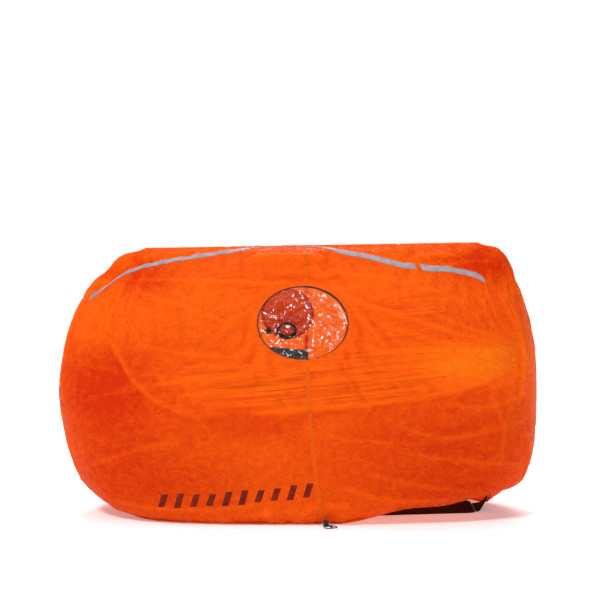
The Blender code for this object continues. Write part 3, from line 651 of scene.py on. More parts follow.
def fold_height(along, across, crest, height, plus, minus):
    """Height of one fold: a crest over the line, falling away by plus and minus on its sides."""
    crest = np.array(sorted(crest))
    start, end = crest[0, 0], crest[-1, 0]
    fine = catmull(crest, np.linspace(0, len(crest) - 1, 80))
    line = np.interp(along, fine[:, 0], fine[:, 1])
    slope = np.interp(along, fine[:, 0], np.gradient(fine[:, 1], fine[:, 0]))
    away = (across - line) / np.sqrt(1.0 + slope ** 2)
    fall = np.where(away > 0, away / plus, -away / minus)
    run = (along - start) / (end - start)
    ends = smoothstep(0.0, 0.22, run) * smoothstep(1.0, 0.78, run)
    return height * ends * np.exp(-np.abs(fall) ** 1.05)


def fold_field(cover):
    """Outward displacement of every point of the cover by its folds and swells."""
    x, y, z = (cover.base[..., k] for k in range(3))
    turn = cover.turns[:, None] + np.zeros_like(x)
    front = facing(turn)
    back = facing(turn + math.pi)
    end = smoothstep(0.72, 0.86, np.abs(np.cos(turn)))
    total = np.zeros_like(x)
    for crest, *shape in FRONT_FOLDS:
        total += front * fold_height(x, z, crest, *shape)
    for crest, *shape in FRONT_STEEP_FOLDS:
        turned_crest = [(b, a) for a, b in crest]
        total += 0.6 * front * fold_height(z, x, turned_crest, *shape)
    for crest, *shape in BACK_FOLDS:
        total += back * fold_height(x, z, crest, *shape)
    for crest, *shape in END_FOLDS:
        turned_crest = [(b, a) for a, b in crest]
        total += end * fold_height(z, np.where(x > 0, y, -y), turned_crest, *shape)
    knee = patch(x, z, (0.56, 0.475), (0.13, 0.065))
    hollow = patch(x, z, (0.10, 0.30), (0.30, 0.07))
    return 1.35 * total + front * (0.014 * knee - 0.008 * hollow)


def window_share(cover):
    """How far each point lies out from the middle of the window, 1 on its edge."""
    x, z = cover.base[..., 0], cover.base[..., 2]
    across, up = (x - WINDOW_CENTRE[0]) / WINDOW_HALF[0], (z - WINDOW_CENTRE[1]) / WINDOW_HALF[1]
    return np.where(np.sin(cover.turns)[:, None] < 0, np.hypot(across, up), FAR)


def vent_share(cover):
    x, z = cover.base[..., 0], cover.base[..., 2]
    share = np.hypot(x - VENT_X, z - VENT_Z) / VENT_RADIUS
    return np.where(np.sin(cover.turns)[:, None] > 0, share, FAR)


def lock_distance(cover):
    """How far each point of the front lies from where the hem's cords come out."""
    x, y, z = (cover.base[..., k] for k in range(3))
    return np.where(y < 0, np.hypot(x - EXIT_X, z), FAR)


def calm(cover):
    """0 in the window, in the vent and by the hem's cord lock, 1 away from them: where the fabric
    may move."""
    return (smoothstep(0.92, 1.25, window_share(cover)) * smoothstep(0.92, 1.25, vent_share(cover))
            * smoothstep(0.030, 0.065, lock_distance(cover)))


def drape(cover):
    """Cloth simulation of the cover, at half its resolution: the fabric is cut a little larger
    than the form that the people inside give it, so it buckles into small soft folds."""
    coarse = cover.points[::2, ::2]
    columns, rows = coarse.shape[:2]
    ids = np.arange(columns * rows).reshape(columns, rows)
    for j in range(columns // 2 + 1, columns):
        ids[j, -1] = ids[columns - j, -1]
    faces = []
    for j in range(columns):
        k = (j + 1) % columns
        for i in range(rows - 1):
            corners = [ids[j, i], ids[k, i], ids[k, i + 1], ids[j, i + 1]]
            faces.append(list(dict.fromkeys(int(v) for v in corners)))
    mesh = bpy.data.meshes.new("drape")
    mesh.from_pydata([tuple(p) for p in coarse.reshape(-1, 3)], [], faces)
    cloth_piece = bpy.data.objects.new("drape", mesh)
    bpy.context.scene.collection.objects.link(cloth_piece)

    along_hem, along_seam = (a[::2, ::2] for a in cover.heights_along())
    by_hem, by_seam = np.exp(-(along_hem / 0.02) ** 2), np.exp(-(along_seam / 0.012) ** 2)
    hold = 0.22 + 0.78 * by_hem + 0.25 * by_seam
    hold = np.maximum(hold, 1.0 - calm(cover)[::2, ::2])
    hold[:, -1] = 0.8
    levels = np.clip(np.round(hold * 20), 1, 20).astype(int)
    group = cloth_piece.vertex_groups.new(name="hold")
    for level in range(1, 21):
        chosen = np.unique(ids[levels == level])
        if len(chosen):
            group.add([int(v) for v in chosen], level / 20, "REPLACE")

    cloth = cloth_piece.modifiers.new("cloth", "CLOTH")
    fabric = cloth.settings
    fabric.quality = 5
    fabric.mass = 0.10
    fabric.air_damping = 2.0
    fabric.tension_stiffness = 18.0
    fabric.compression_stiffness = 18.0
    fabric.shear_stiffness = 6.0
    fabric.bending_stiffness = 0.03
    fabric.vertex_group_mass = "hold"
    fabric.pin_stiffness = 0.45
    fabric.shrink_min = -0.010
    fabric.effector_weights.gravity = 0.25
    cloth.collision_settings.use_collision = False
    frames = 26
    cloth.point_cache.frame_end = frames
    scene = bpy.context.scene
    for step in range(1, frames + 1):
        scene.frame_set(step)
    settled = cloth_piece.evaluated_get(bpy.context.evaluated_depsgraph_get())
    moved = np.empty(len(mesh.vertices) * 3)
    settled.data.vertices.foreach_get("co", moved)
    moved = moved.reshape(-1, 3)[ids.ravel()].reshape(coarse.shape)
    bpy.data.objects.remove(cloth_piece)
    scene.frame_set(1)
    shift = moved - coarse
    length = np.linalg.norm(shift, axis=2, keepdims=True)
    most = 0.0065
    return shift * np.minimum(1.0, most / np.maximum(length, 1e-9))


def refine(field, wrap):
    """Twice as many samples along the first axis, on a smooth curve through the given ones."""
    if wrap:
        before, after = np.roll(field, 1, axis=0), np.roll(field, -1, axis=0)
        far = np.roll(field, -2, axis=0)
        middle = (9.0 * (field + after) - before - far) / 16.0
        return np.stack((field, middle), axis=1).reshape(-1, *field.shape[1:])
    padded = np.concatenate((2 * field[:1] - field[1:2], field, 2 * field[-1:] - field[-2:-1]))
    middle = (9.0 * (padded[1:-2] + padded[2:-1]) - padded[:-3] - padded[3:]) / 16.0
    fine = np.empty((2 * len(field) - 1, *field.shape[1:]))
    fine[0::2], fine[1::2] = field, middle
    return fine


def small_creases(cover):
    """Fine outward displacement: gathers at the hem, puckers at the seams, soft crumples."""
    along_hem, along_seam = cover.heights_along()
    around = cover.round_along()
    total = 0.0
    for away, scale, seed, height, reach in (
            (along_hem, 62.0, 3.1, 0.0024, 0.030), (along_hem, 21.0, 8.4, 0.0030, 0.075),
            (along_seam, 58.0, 5.7, 0.0015, 0.022), (along_seam, 24.0, 1.9, 0.0022, 0.060)):
        puckers = wander(around, scale, seed)[:, None] * height
        total = total + puckers * np.exp(-np.abs(away) / reach)
    crumple = np.empty(cover.base.shape[:2])
    flat = crumple.reshape(-1)
    for k, (x, y, z) in enumerate(cover.base.reshape(-1, 3)):
        streak = 1.0 - 2.2 * abs(noise.noise((x * 8.0, y * 14.0, z * 27.0)))
        crinkle = 1.0 - 2.2 * abs(noise.noise((x * 31.0 + 7.0, y * 33.0, z * 37.0)))
        where = 0.55 + 0.9 * noise.noise((x * 5.0, y * 5.0, z * 5.0 + 4.0))
        loose = 1.0 + 0.9 * (z < 0.30) * min(1.0, (0.30 - z) / 0.08)
        flat[k] = 0.0013 * streak * where + 0.0006 * loose * crinkle
    return total + crumple


def blurred(field, reach):
    """The field averaged twice over its neighbours, round the cover and up it."""
    width = 2 * reach + 1
    for _ in range(2):
        field = sum(np.roll(field, k, axis=0) for k in range(-reach, reach + 1)) / width
        padded = np.pad(field, ((0, 0), (reach, reach)), mode="edge")
        field = sum(padded[:, k:k + field.shape[1]] for k in range(width)) / width
    return field


def make_cover():
    cover = Cover()
    normal = cover.normals(cover.base)
    quiet = calm(cover)
    cover.points = cover.base + normal * (fold_field(cover) * quiet)[..., None]
    low_front = smoothstep(0.40, 0.26, cover.base[..., 2]) * (cover.base[..., 1] < 0)
    shift = drape(cover)
    shift = refine(shift, wrap=True)
    shift = np.swapaxes(refine(np.swapaxes(shift, 0, 1), wrap=False), 0, 1)
    cover.points = cover.points + shift * (quiet * (1.0 - 0.55 * low_front))[..., None]
    give = 0.0018 * smoothstep(0.055, 0.025, lock_distance(cover))
    creases = small_creases(cover) * quiet - give
    cover.points = cover.points + cover.normals() * creases[..., None]
    height = ((cover.points - cover.base) * normal).sum(axis=2)
    # height above its blur, for the fabric's colour: painted highlight on fold crests and painted
    # shade in the hollows
    cover.relief = (height - blurred(height, 4)) / 0.0022
    cover.points[:, -1, 1] = 0.0
    mirror = (cover.count - np.arange(cover.count)) % cover.count
    cover.points[:, -1] = 0.5 * (cover.points[:, -1] + cover.points[mirror, -1])
    cover.normal = cover.normals()
    return cover


# ---------------------------------------------------------------- fabric panels
def snap_to_hole(cover, share, centre, half, front):
    """Moves the points nearest the edge of a round opening onto the edge."""
    normal_step = FINE / min(half)
    near = np.argwhere(np.abs(share - 1.0) < 0.62 * normal_step)
    for j, i in near:
        x, _, z = cover.base[j, i]
        angle = math.atan2((z - centre[1]) / half[1], (x - centre[0]) / half[0])
        edge = skin_at(centre[0] + half[0] * math.cos(angle),
                       centre[1] + half[1] * math.sin(angle), front)
        cover.points[j, i] += edge - cover.base[j, i]


def set_cloth_uv(mesh, places):
    """Gives each vertex its cloth coordinates, in metres."""
    layer = mesh.uv_layers.new(name="cloth")
    loop_points = np.empty(len(mesh.loops), dtype=np.int64)
    mesh.loops.foreach_get("vertex_index", loop_points)
    layer.data.foreach_set("uv", places[loop_points].ravel())


def panel(cover, name, columns, rows, material, open_share=None, wrap=False):
    """One sewn panel of the cover; faces inside an opening are left out."""
    columns = np.arange(*columns) % cover.count
    block = cover.points[columns][:, rows[0]:rows[1]]
    relief = cover.relief[columns][:, rows[0]:rows[1]].ravel()
    hem, _ = cover.heights_along()
    around = cover.round_along()
    per = rows[1] - rows[0]
    faces = grid_faces(len(columns), per)
    if wrap:
        base = (len(columns) - 1) * per
        faces += [(base + i, base + i + 1, i + 1, i) for i in range(per - 1)]
    faces = [face[::-1] for face in faces]
    if open_share is not None:
        shares = open_share[columns][:, rows[0]:rows[1]].ravel()
        faces = [f for f in faces if sum(shares[v] for v in f) / 4.0 > 1.0]
    piece = add_piece(name, block.reshape(-1, 3), faces, material)
    mesh = piece.data
    across = np.repeat(around[columns], per)
    up = hem[columns][:, rows[0]:rows[1]].ravel()
    set_cloth_uv(mesh, np.stack((across, up), axis=1))
    # painted shade and painted light of the patches, with painted highlight on fold crests and
    # painted shade in their hollows
    painted_tone = painted_light_and_shade(block.reshape(-1, 3)) - 0.20 * np.clip(relief, -1.4, 1.8)
    for kind, values in (("painted_light_and_shade", painted_tone), ("pull", pull(block.reshape(-1, 3)))):
        attribute = mesh.attributes.new(kind, "FLOAT", "POINT")
        attribute.data.foreach_set("value", values.astype(np.float32))
    loose = bmesh.new()
    loose.from_mesh(mesh)
    bmesh.ops.delete(loose, geom=[v for v in loose.verts if not v.link_faces], context="VERTS")
    bmesh.ops.remove_doubles(loose, verts=loose.verts, dist=0.00005)
    loose.to_mesh(mesh)
    loose.free()
    mesh.shade_smooth()
    return piece


# patches of painted shade, and of painted light where the depth is below 0: the shade of legs and
# backs behind the fabric, which are not built, and of folds at the top corners; centre, half size,
# depth of tone
PAINTED_LIGHT_AND_SHADE_PATCHES = (
    ((-0.54, 0.30), (0.20, 0.20), 0.50), ((0.46, 0.24), (0.30, 0.13), 0.46),
    ((-0.38, 0.12), (0.26, 0.09), 0.40), ((0.50, 0.09), (0.22, 0.07), 0.36),
    ((-0.46, 0.725), (0.085, 0.055), 0.66), ((0.56, 0.760), (0.10, 0.050), 0.85),
    ((0.60, 0.62), (0.10, 0.05), 0.14), ((0.50, 0.475), (0.17, 0.055), -1.00),
    ((-0.20, 0.42), (0.26, 0.03), -0.14), ((-0.62, 0.56), (0.07, 0.12), -0.20),
    ((0.16, 0.17), (0.16, 0.10), 0.16), ((-0.25, 0.64), (0.26, 0.08), -0.16),
    ((-0.14, 0.300), (0.18, 0.050), 0.34), ((0.07, 0.30), (0.09, 0.035), -0.24),
    ((0.05, 0.40), (0.32, 0.05), -0.16), ((0.20, 0.70), (0.28, 0.05), -0.12),
    ((-0.58, 0.42), (0.12, 0.10), 0.50), ((0.66, 0.52), (0.06, 0.14), -0.16),
)


def painted_light_and_shade(points):
    # tone of painted shade from the patches, and of painted light where a depth is below 0; weaker on
    # the back wall
    x, y, z = points[:, 0], points[:, 1], points[:, 2]
    tone = np.zeros(len(points))
    for middle, reach, depth in PAINTED_LIGHT_AND_SHADE_PATCHES:
        tone += depth * patch(x, z, middle, reach)
    front = smoothstep(0.05, -0.05, y)
    return tone * (0.45 + 0.55 * front)


def pull(points):
    """1 where the fabric is stretched lengthwise, -1 where it hangs in steep folds, else 0."""
    x, y, z = points[:, 0], points[:, 1], points[:, 2]
    wall = smoothstep(0.03, 0.09, np.abs(y))
    level = patch(x, z, (0.06, 0.42), (0.46, 0.085))
    level += 0.6 * patch(x, z, (0.36, 0.60), (0.16, 0.11))
    level += 0.5 * patch(x, z, (-0.05, 0.70), (0.30, 0.05))
    steep = patch(np.abs(x), z, (0.52, 0.63), (0.09, 0.10))
    steep += 0.7 * np.exp(-(z / 0.05) ** 2)
    steep += 0.4 * np.exp(-((np.abs(x) - 0.70) / 0.05) ** 2)
    level, steep = np.clip(level, 0.0, 1.0), np.clip(steep, 0.0, 1.0)
    return level * wall - steep * (1.0 - level)


def build_fabric(cover, orange, orange_roof):
    wall = cover.wall_rows + 1
    window = window_share(cover)
    vent = vent_share(cover)
    snap_to_hole(cover, window, WINDOW_CENTRE, WINDOW_HALF, True)
    snap_to_hole(cover, vent, (VENT_X, VENT_Z), (VENT_RADIUS, VENT_RADIUS), False)
    right, centre, left = (cover.column(k) for k in (1, 2, 3))
    front_left, front_centre, front_right = (cover.column(k, front=True) for k in (3, 2, 1))
    spans = (
        ("back_panel_right", right, centre, vent), ("back_panel_left", centre, left, vent),
        ("end_panel_left", left, front_left, None),
        ("front_panel_left", front_left, front_centre, window),
        ("front_panel_right", front_centre, front_right, window),
        ("end_panel_right", front_right, right + cover.count, None),
    )
    made = {}
    for node, start, end, opening in spans:
        piece = panel(cover, node.replace("panel", "fabric"), (start, end + 1), (0, wall), orange,
                      opening)
        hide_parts(node)
        made[node] = piece
    roof = panel(cover, "roof_fabric", (0, cover.count), (cover.wall_rows, cover.rows), orange_roof,
                 wrap=True)
    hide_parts("roof_panel")
    made["roof_panel"] = roof
    return made


# ---------------------------------------------------------------- strips, tapes and stitches
def across_seam(cover, j, i, reach, along_rows):
    """Points and normals on the line that crosses a seam at column j, row i, with distances."""
    steps = np.arange(-reach, reach + 1)
    if along_rows:
        rows = np.clip(i + steps, 0, cover.rows - 1)
        points, normals = cover.points[j, rows], cover.normal[j, rows]
    else:
        columns = (j + steps) % cover.count
        points, normals = cover.points[columns, i], cover.normal[columns, i]
    along = distances(points)
    return points, normals, along - along[reach]


def sample_line(line, offsets):
    points, normals, along = line
    at = np.stack([np.interp(offsets, along, points[:, k]) for k in range(3)], axis=1)
    up = np.stack([np.interp(offsets, along, normals[:, k]) for k in range(3)], axis=1)
    return at, unit(up)


def moved(line, by):
    """The same crossing line, with its distances counted from another point of it."""
    points, normals, along = line
    return points, normals, along - by


def ribbon(name, lines, half, material, seed, waviness, lift, tuck=None):
    """A strip sewn over the fabric along a row of crossing lines; its edges wander a little and
    it stands up slightly between the stitches."""
    shares = np.array((-1.0, -0.985, -0.72, -0.36, 0.0, 0.36, 0.72, 0.985, 1.0))
    heights = np.array((0.05, 0.8, 0.92, 1.0, 1.05, 1.0, 0.92, 0.8, 0.05)) * lift
    steps = np.arange(len(lines)) * 0.14
    low = half + waviness * wander(steps, 1.0, seed)
    high = half + waviness * wander(steps, 1.0, seed + 2.7)
    shift = waviness * wander(steps, 0.6, seed + 5.1)
    ripple = 0.0005 * wander(steps, 3.3, seed + 9.9)
    points = []
    for k, line in enumerate(lines):
        offsets = shift[k] + np.where(shares < 0, shares * low[k], shares * high[k])
        at, up = sample_line(line, offsets)
        raised = heights + ripple[k] * (np.abs(shares) < 0.9)
        if tuck is not None:
            raised = raised - 0.005 * math.exp(-((at[4][0] - tuck) / 0.008) ** 4)
        points.append(at + up * raised[:, None])
    return add_piece(name, np.concatenate(points), grid_faces(len(lines), len(shares)), material)


def stitches(name, lines, offsets, material, lift):
    """Rows of thread stitches along a seam, offsets away from its middle."""
    pitch, length = 0.0036, 0.0023
    points, faces = [], []
    for offset in offsets:
        track = [sample_line(line, np.array([offset])) for line in lines]
        at = np.array([p[0] for p, _ in track])
        up = np.array([n[0] for _, n in track])
        gaps = distances(at)
        for middle in np.arange(pitch, gaps[-1] - pitch, pitch):
            ends = []
            for s in (middle - 0.5 * length, middle + 0.5 * length):
                place = np.array([np.interp(s, gaps, at[:, k]) for k in range(3)])
                normal = np.array([np.interp(s, gaps, up[:, k]) for k in range(3)])
                ends.append((place, unit(normal)))
            add_stitch(points, faces, ends, lift)
    add_piece(name, points, faces, material)


def add_stitch(points, faces, ends, lift, half=0.00033):
    """One stitch: a low rounded bar between two points on the fabric."""
    (a, up_a), (b, up_b) = ends
    along = unit(b - a)
    base = len(points)
    for share, height in ((0.0, -0.2), (0.22, 1.0), (0.78, 1.0), (1.0, -0.2)):
        place = a + (b - a) * share
        up = up_a + (up_b - up_a) * share
        side = np.cross(up, along)
        narrow = half if height > 0 else 0.6 * half
        for around, rise in ((-1.0, -0.25), (0.0, 1.0), (1.0, -0.25)):
            points.append(place + side * around * narrow
                          + up * (lift + 0.00042 * (max(height, 0.0) * max(rise, 0.0)) - 0.0001))
    for k in range(3):
        for m in range(3):
            n = (m + 1) % 3
            p, q = base + 3 * k + m, base + 3 * k + n
            faces.append((p, q, q + 3, p + 3))
    faces += [(base + 2, base + 1, base), (base + 9, base + 10, base + 11)]


STRIP_HALF = 0.0105
STRIP_ASIDE = 0.0085            # the strips lie mostly on the wall's side of the roof seam
STRIP_OVER = 0.026              # in its middle the front strip climbs over the bulge of the roof


def build_strips(cover, tape, thread):
    seam = cover.wall_rows
    front = range(cover.column(3, front=True) - 6, cover.column(1, front=True) + 2)
    back = range(cover.column(1) + 2, cover.column(3) - 1)
    for side, columns, seed in (("front", front, 11.3), ("back", back, 29.8)):
        lines = []
        for j in columns:
            x = cover.points[j, seam, 0]
            over = smoothstep(-0.20, -0.12, x) * smoothstep(0.13, 0.06, x) * (side == "front")
            line = across_seam(cover, j, seam, 9, True)
            lines.append(moved(line, STRIP_OVER * over - STRIP_ASIDE))
        strip = ribbon(f"reflective_tape_{side}", lines, STRIP_HALF, tape, seed,
                       waviness=0.0016, lift=0.0016, tuck=0.363 if side == "front" else None)
        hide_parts(f"reflective_strip_{side}")
        edge = STRIP_HALF - 0.0018
        stitches(f"strip_stitches_{side}", lines, (-edge, edge), thread, lift=0.0015)
        if side == "front":
            end_tab(lines, tape)


def end_tab(lines, tape):
    """The loose left end of the front strip, twisted and turned down."""
    start, up = sample_line(lines[0], np.array((-STRIP_HALF, 0.0, STRIP_HALF)))
    across = (start[2] - start[0]) / (2.0 * STRIP_HALF)
    away = unit(start[1] - sample_line(lines[3], np.zeros(1))[0][0])
    points = []
    count = 12
    for k in range(count):
        run = k / (count - 1)
        twist = 1.15 * math.sin(run * 2.4)
        normal = up[1]
        middle = (start[1] + away * 0.026 * run + normal * (0.0024 + 0.0060 * math.sin(run * 2.6))
                  - UP * 0.012 * run ** 2)
        side = across * math.cos(twist) + normal * math.sin(twist) * 0.5
        for w in (-1.0, -0.5, 0.0, 0.5, 1.0):
            points.append(middle + side * w * 0.0100 * (1.0 - 0.12 * run))
    add_piece("reflective_tape_end_tab", points, grid_faces(count, 5), tape)


def build_tapes(cover, orange_tape, thread):
    """Tape over the centre seams, in front and at the back, around the round openings."""
    half = 0.0058
    seam_row = cover.wall_rows
    for side, column, share in (("front", cover.column(2, front=True), window_share(cover)),
                                ("back", cover.column(2), vent_share(cover))):
        reach = 1.075 if side == "front" else 1.15
        closed = [i for i in range(cover.rows) if share[column, i] < reach]
        spans = (("lower", range(1, closed[0] - 1)), ("upper", range(closed[-1] + 2, seam_row - 1)))
        for part, rows in spans:
            lines = [across_seam(cover, column, i, 5, False) for i in rows]
            tape = ribbon(f"seam_tape_{side}_{part}", lines, half, orange_tape,
                          3.3 if side == "front" else 6.1, waviness=0.0004, lift=0.0009)
            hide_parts(f"{side}_seam_tape_{part}")
            stitches(f"seam_stitches_{side}_{part}", lines, (-half + 0.0014, half - 0.0014), thread,
                     lift=0.0008)


def build_corner_seams(cover, thread):
    """Stitch rows on the four corner seams of the walls."""
    for name, column in (("front_left", cover.column(3, front=True)),
                         ("front_right", cover.column(1, front=True)),
                         ("back_right", cover.column(1)), ("back_left", cover.column(3))):
        lines = [across_seam(cover, column, i, 3, False)
                 for i in range(2, cover.wall_rows - 1)]
        stitches(f"corner_stitches_{name}", lines, (-0.0016, 0.0016), thread, lift=0.0001)


# ---------------------------------------------------------------- print
def build_print(cover, ink):
    """Plain slanted bars, printed in a row low on the left of the front."""
    faces = grid_faces(cover.count, cover.rows)
    tree = BVHTree.FromPolygons([Vector(p) for p in cover.points.reshape(-1, 3)], faces)
    points, bar_faces = [], []
    columns, rows = 7, 14
    for k in range(10):
        share = k / 9
        middle_x = -0.392 + 0.425 * share
        middle_z = 0.074 + 0.036 * share ** 1.6
        tall = 0.040 + 0.005 * math.sin(k * 1.7)
        base = len(points)
        for j in range(rows):
            up = j / (rows - 1) - 0.5
            for i in range(columns):
                out = i / (columns - 1) - 0.5
                x = middle_x + 0.019 * out + 0.012 * up
                z = middle_z + tall * up + 0.05 * out * 0.019
                place, normal, _, _ = tree.ray_cast(Vector((x, -0.8, z)), Vector((0.0, 1.0, 0.0)))
                normal = normal if normal.y < 0 else -normal
                points.append(np.array(place + normal * 0.0005))
        for face in grid_faces(rows, columns):
            bar_faces.append(tuple(base + v for v in face))
    add_piece("front_print_bars", points, bar_faces, ink)


def ink_material():
    """Dark ink, rubbed thin along the ripstop's threads."""
    n = Nodes("print_ink")
    place = n.place()
    rubbed = n.ramp(n.noise(place, 130.0, 6.0, 0.7), 0.46, 0.72)
    colour = n.mix(rubbed, (0.105, 0.010, 0.004), (0.42, 0.028, 0.004))
    n.set(Base_Color=colour, Roughness=0.6, Specular_IOR_Level=0.1,
          Normal=n.bump(n.noise(place, 90.0, 5.0), 0.4, 0.003))
    return n.material


# ---------------------------------------------------------------- window
def build_window(film, binding, thread):
    """Crumpled clear film, and the narrow black tape stitched round it."""
    sides, rings = 150, 44
    centre = np.array(WINDOW_CENTRE)
    half = np.array(WINDOW_HALF) + 0.0022
    points = []
    angles = round_angles(sides)
    for r in range(1, rings + 1):
        share = r / rings
        x = centre[0] + half[0] * share * np.cos(angles)
        z = centre[1] + half[1] * share * np.sin(angles)
        ring = skin_at(x, z)
        rim = 1.0 - smoothstep(0.86, 0.99, share)
        for place in ring:
            dent = film_dent(place) * rim
            points.append(place + WINDOW_OUT * (dent - 0.0007))
    middle = skin_at(centre[0], centre[1])
    points.append(middle + WINDOW_OUT * film_dent(middle))
    faces = grid_faces(rings, sides, wrap=True)
    faces = [face[::-1] for face in faces]
    last = len(points) - 1
    faces += [(last, (j + 1) % sides, j) for j in range(sides)]
    pane = add_piece("window_film", points, faces, film)
    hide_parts("window_pane")
    painted_film_glints(centre, half)
    window_flap(centre, half, binding)
    build_binding("window_binding_tape", centre, np.array(WINDOW_HALF), True, 0.0027, 0.0014,
                  binding, "window_binding", bold=(math.radians(52), 0.0013))
    window_stitches(centre, thread)


def window_flap(centre, half, binding):
    """The black facing behind the film, along the lower left edge, up to the centre seam."""
    columns, rows = 60, 9
    points = []
    for i in range(rows):
        up = i / (rows - 1)
        for j in range(columns):
            run = j / (columns - 1)
            x = centre[0] + half[0] * (-0.80 + 0.92 * run)
            edge = centre[1] - half[1] * math.sqrt(1.0 - ((x - centre[0]) / half[0]) ** 2)
            top = centre[1] - half[1] * (0.60 + 0.10 * run)
            top += 0.0016 * noise.noise((x * 55.0, 6.0, 0.0))
            spot = skin_at(x, edge + (max(top, edge) - edge) * up)
            crumple = 0.0012 * noise.noise((x * 150.0, 3.0, up * 2.0))
            points.append(spot - WINDOW_OUT * (0.0075 + crumple))
    add_piece("window_inner_facing", points, grid_faces(rows, columns), binding)


def painted_film_glints(centre, half):
    """Painted glints: small white slivers on the film's surface where it is sharply creased, standing
    in for the highlights of its creases.
    """
    marks = Nodes("film_painted_glints")
    place = marks.place()
    marks.set(Base_Color=(0.97, 0.96, 0.95, 1.0), Roughness=0.12, Specular_IOR_Level=0.8,
              Normal=marks.bump(marks.noise(place, 300.0, 3.0), 0.4, 0.001))
    chance = np.random.default_rng(41)
    points, faces = [], []
    for _ in range(135):
        angle = chance.uniform(0.0, TAU)
        share = 0.93 * math.sqrt(chance.uniform(0.01, 1.0))
        x = centre[0] + half[0] * share * math.cos(angle)
        z = centre[1] + half[1] * share * math.sin(angle)
        crowd = noise.noise((x * 26.0, 2.0, z * 26.0)) + 0.45 * share
        if crowd < 0.12:
            continue
        lean = chance.choice((0.7, -0.8, 1.2, -0.35, 2.6)) + chance.normal(0.0, 0.35)
        long = 0.0016 + 0.0058 * chance.random() ** 2.6
        wide = 0.0010 + 0.0015 * chance.random() ** 1.5
        bend = chance.normal(0.0, 0.3) * long
        outline = []
        for s in (-1.0, -0.6, -0.1, 0.4, 1.0, 0.5, 0.0, -0.5):
            edge = wide * (1.0 - s * s) * chance.uniform(0.5, 1.2)
            side = 1.0 if len(outline) < 5 else -1.0
            along, across = s * long, side * edge + bend * (s * s - 0.4)
            outline.append((x + along * math.cos(lean) - across * math.sin(lean),
                            z + along * math.sin(lean) + across * math.cos(lean)))
        ring = skin_at([p[0] for p in outline], [p[1] for p in outline])
        base = len(points)
        for spot in ring:
            points.append(spot + WINDOW_OUT * (film_dent(spot) + 0.0001))
        faces.append(tuple(range(base, base + len(outline))))
    add_piece("window_painted_glints", points, faces, marks.material, smooth=False)


def film_dent(place):
    """Creases of the film: sharp ridges between flat facets, over a slow swell."""
    x, _, z = place
    warp = 0.35 * noise.noise((x * 22.0, 3.0, z * 22.0))
    cell = noise.voronoi((x * 34.0 + warp, 1.0, z * 38.0 + warp))[0]
    ridge = min(1.0, (cell[1] - cell[0]) * 2.2)
    fine = noise.voronoi((x * 85.0, 4.0, z * 90.0))[0]
    small = min(1.0, (fine[1] - fine[0]) * 2.5)
    swell = noise.noise((x * 11.0, 9.0, z * 11.0))
    return 0.0030 * swell - 0.0020 * ridge - 0.0007 * small + 0.0008


def oval_points(centre, half, front, count):
    angles = round_angles(count)
    x = centre[0] + half[0] * np.cos(angles)
    z = centre[1] + half[1] * np.sin(angles)
    return angles, skin_at(x, z, front)


def build_binding(name, centre, half, front, width, height, material, node, bold=None):
    """Soft flat tube of tape along an oval opening; bold makes it wider towards one direction."""
    count, sides = 220, 12
    angles, inner = oval_points(centre, half - 0.3 * width, front, count)
    _, outer = oval_points(centre, half + width, front, count)
    middle = 0.5 * (inner + outer)
    radial = unit(outer - inner)
    along = unit(np.roll(middle, -1, axis=0) - np.roll(middle, 1, axis=0))
    up = np.cross(radial, along)
    up *= np.where(up[:, 1] * (-1 if front else 1) > 0, 1.0, -1.0)[:, None]
    wide = 0.5 * 1.3 * width * (1.0 + 0.14 * wander(angles, 5.0, 2.2))
    if bold is not None:
        towards, extra = bold
        away = np.mod(angles - towards + math.pi, TAU) - math.pi
        wide = wide + extra * np.exp(-(away / 0.7) ** 2)
    tall = height * (1.0 + 0.2 * wander(angles, 9.0, 7.2))
    points = []
    for k in range(count):
        for m in range(sides):
            a = TAU * m / sides
            flat = math.copysign(abs(math.cos(a)) ** 0.8, math.cos(a))
            points.append(middle[k] + radial[k] * wide[k] * flat
                          + up[k] * tall[k] * math.sin(a) * 0.8)
    faces = closed_faces(count, sides)
    if not front:
        faces = [face[::-1] for face in faces]
    ring = add_piece(name, points, faces, material)
    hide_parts(node)
    return ring


def window_stitches(centre, thread):
    """Stitches round the window, just outside its tape."""
    points, faces = [], []
    count = 210
    _, ring = oval_points(centre, np.array(WINDOW_HALF) + 0.0046, True, count * 2)
    for k in range(0, 2 * count, 2):
        a, b = ring[k], ring[k + 1]
        up = np.array((0.0, -0.88, 0.47))
        b = a + (b - a) * 1.25
        add_stitch(points, faces, ((a, up), (b, up)), 0.0006, half=0.00045)
    add_piece("window_stitches", points, faces, thread)


# ---------------------------------------------------------------- vent
def vent_frame():
    """Middle of the vent's base, its direction into the shelter, and two directions across it."""
    base = skin_at(VENT_X, VENT_Z, False)
    step = 0.004
    across = skin_at(VENT_X + step, VENT_Z, False) - skin_at(VENT_X - step, VENT_Z, False)
    up = skin_at(VENT_X, VENT_Z + step, False) - skin_at(VENT_X, VENT_Z - step, False)
    inward = unit(np.cross(across, up))
    if inward[1] > 0:
        inward = -inward
    side = np.array((-1.0, 0.0, 0.0))
    side = unit(side - inward * side.dot(inward))
    return base, inward, side, np.cross(inward, side)


VENT_LENGTH = 0.085
VENT_MOUTH_RADIUS = 0.027
VENT_BAND_LENGTH = 0.011
VENT_LOCK_OUT = 0.056
VENT_PLEATS = 23
GAP = 0.0010                    # between the sleeve's end and its mouth band


def vent_ring(vent, depth, reach, angles):
    """Points round the vent's line, depth into the shelter and reach away from the line."""
    base, inward, side, down = vent
    depth = np.broadcast_to(depth, angles.shape)
    return (base + np.outer(depth, inward) + np.outer(reach * np.cos(angles), side)
            + np.outer(reach * np.sin(angles), down))


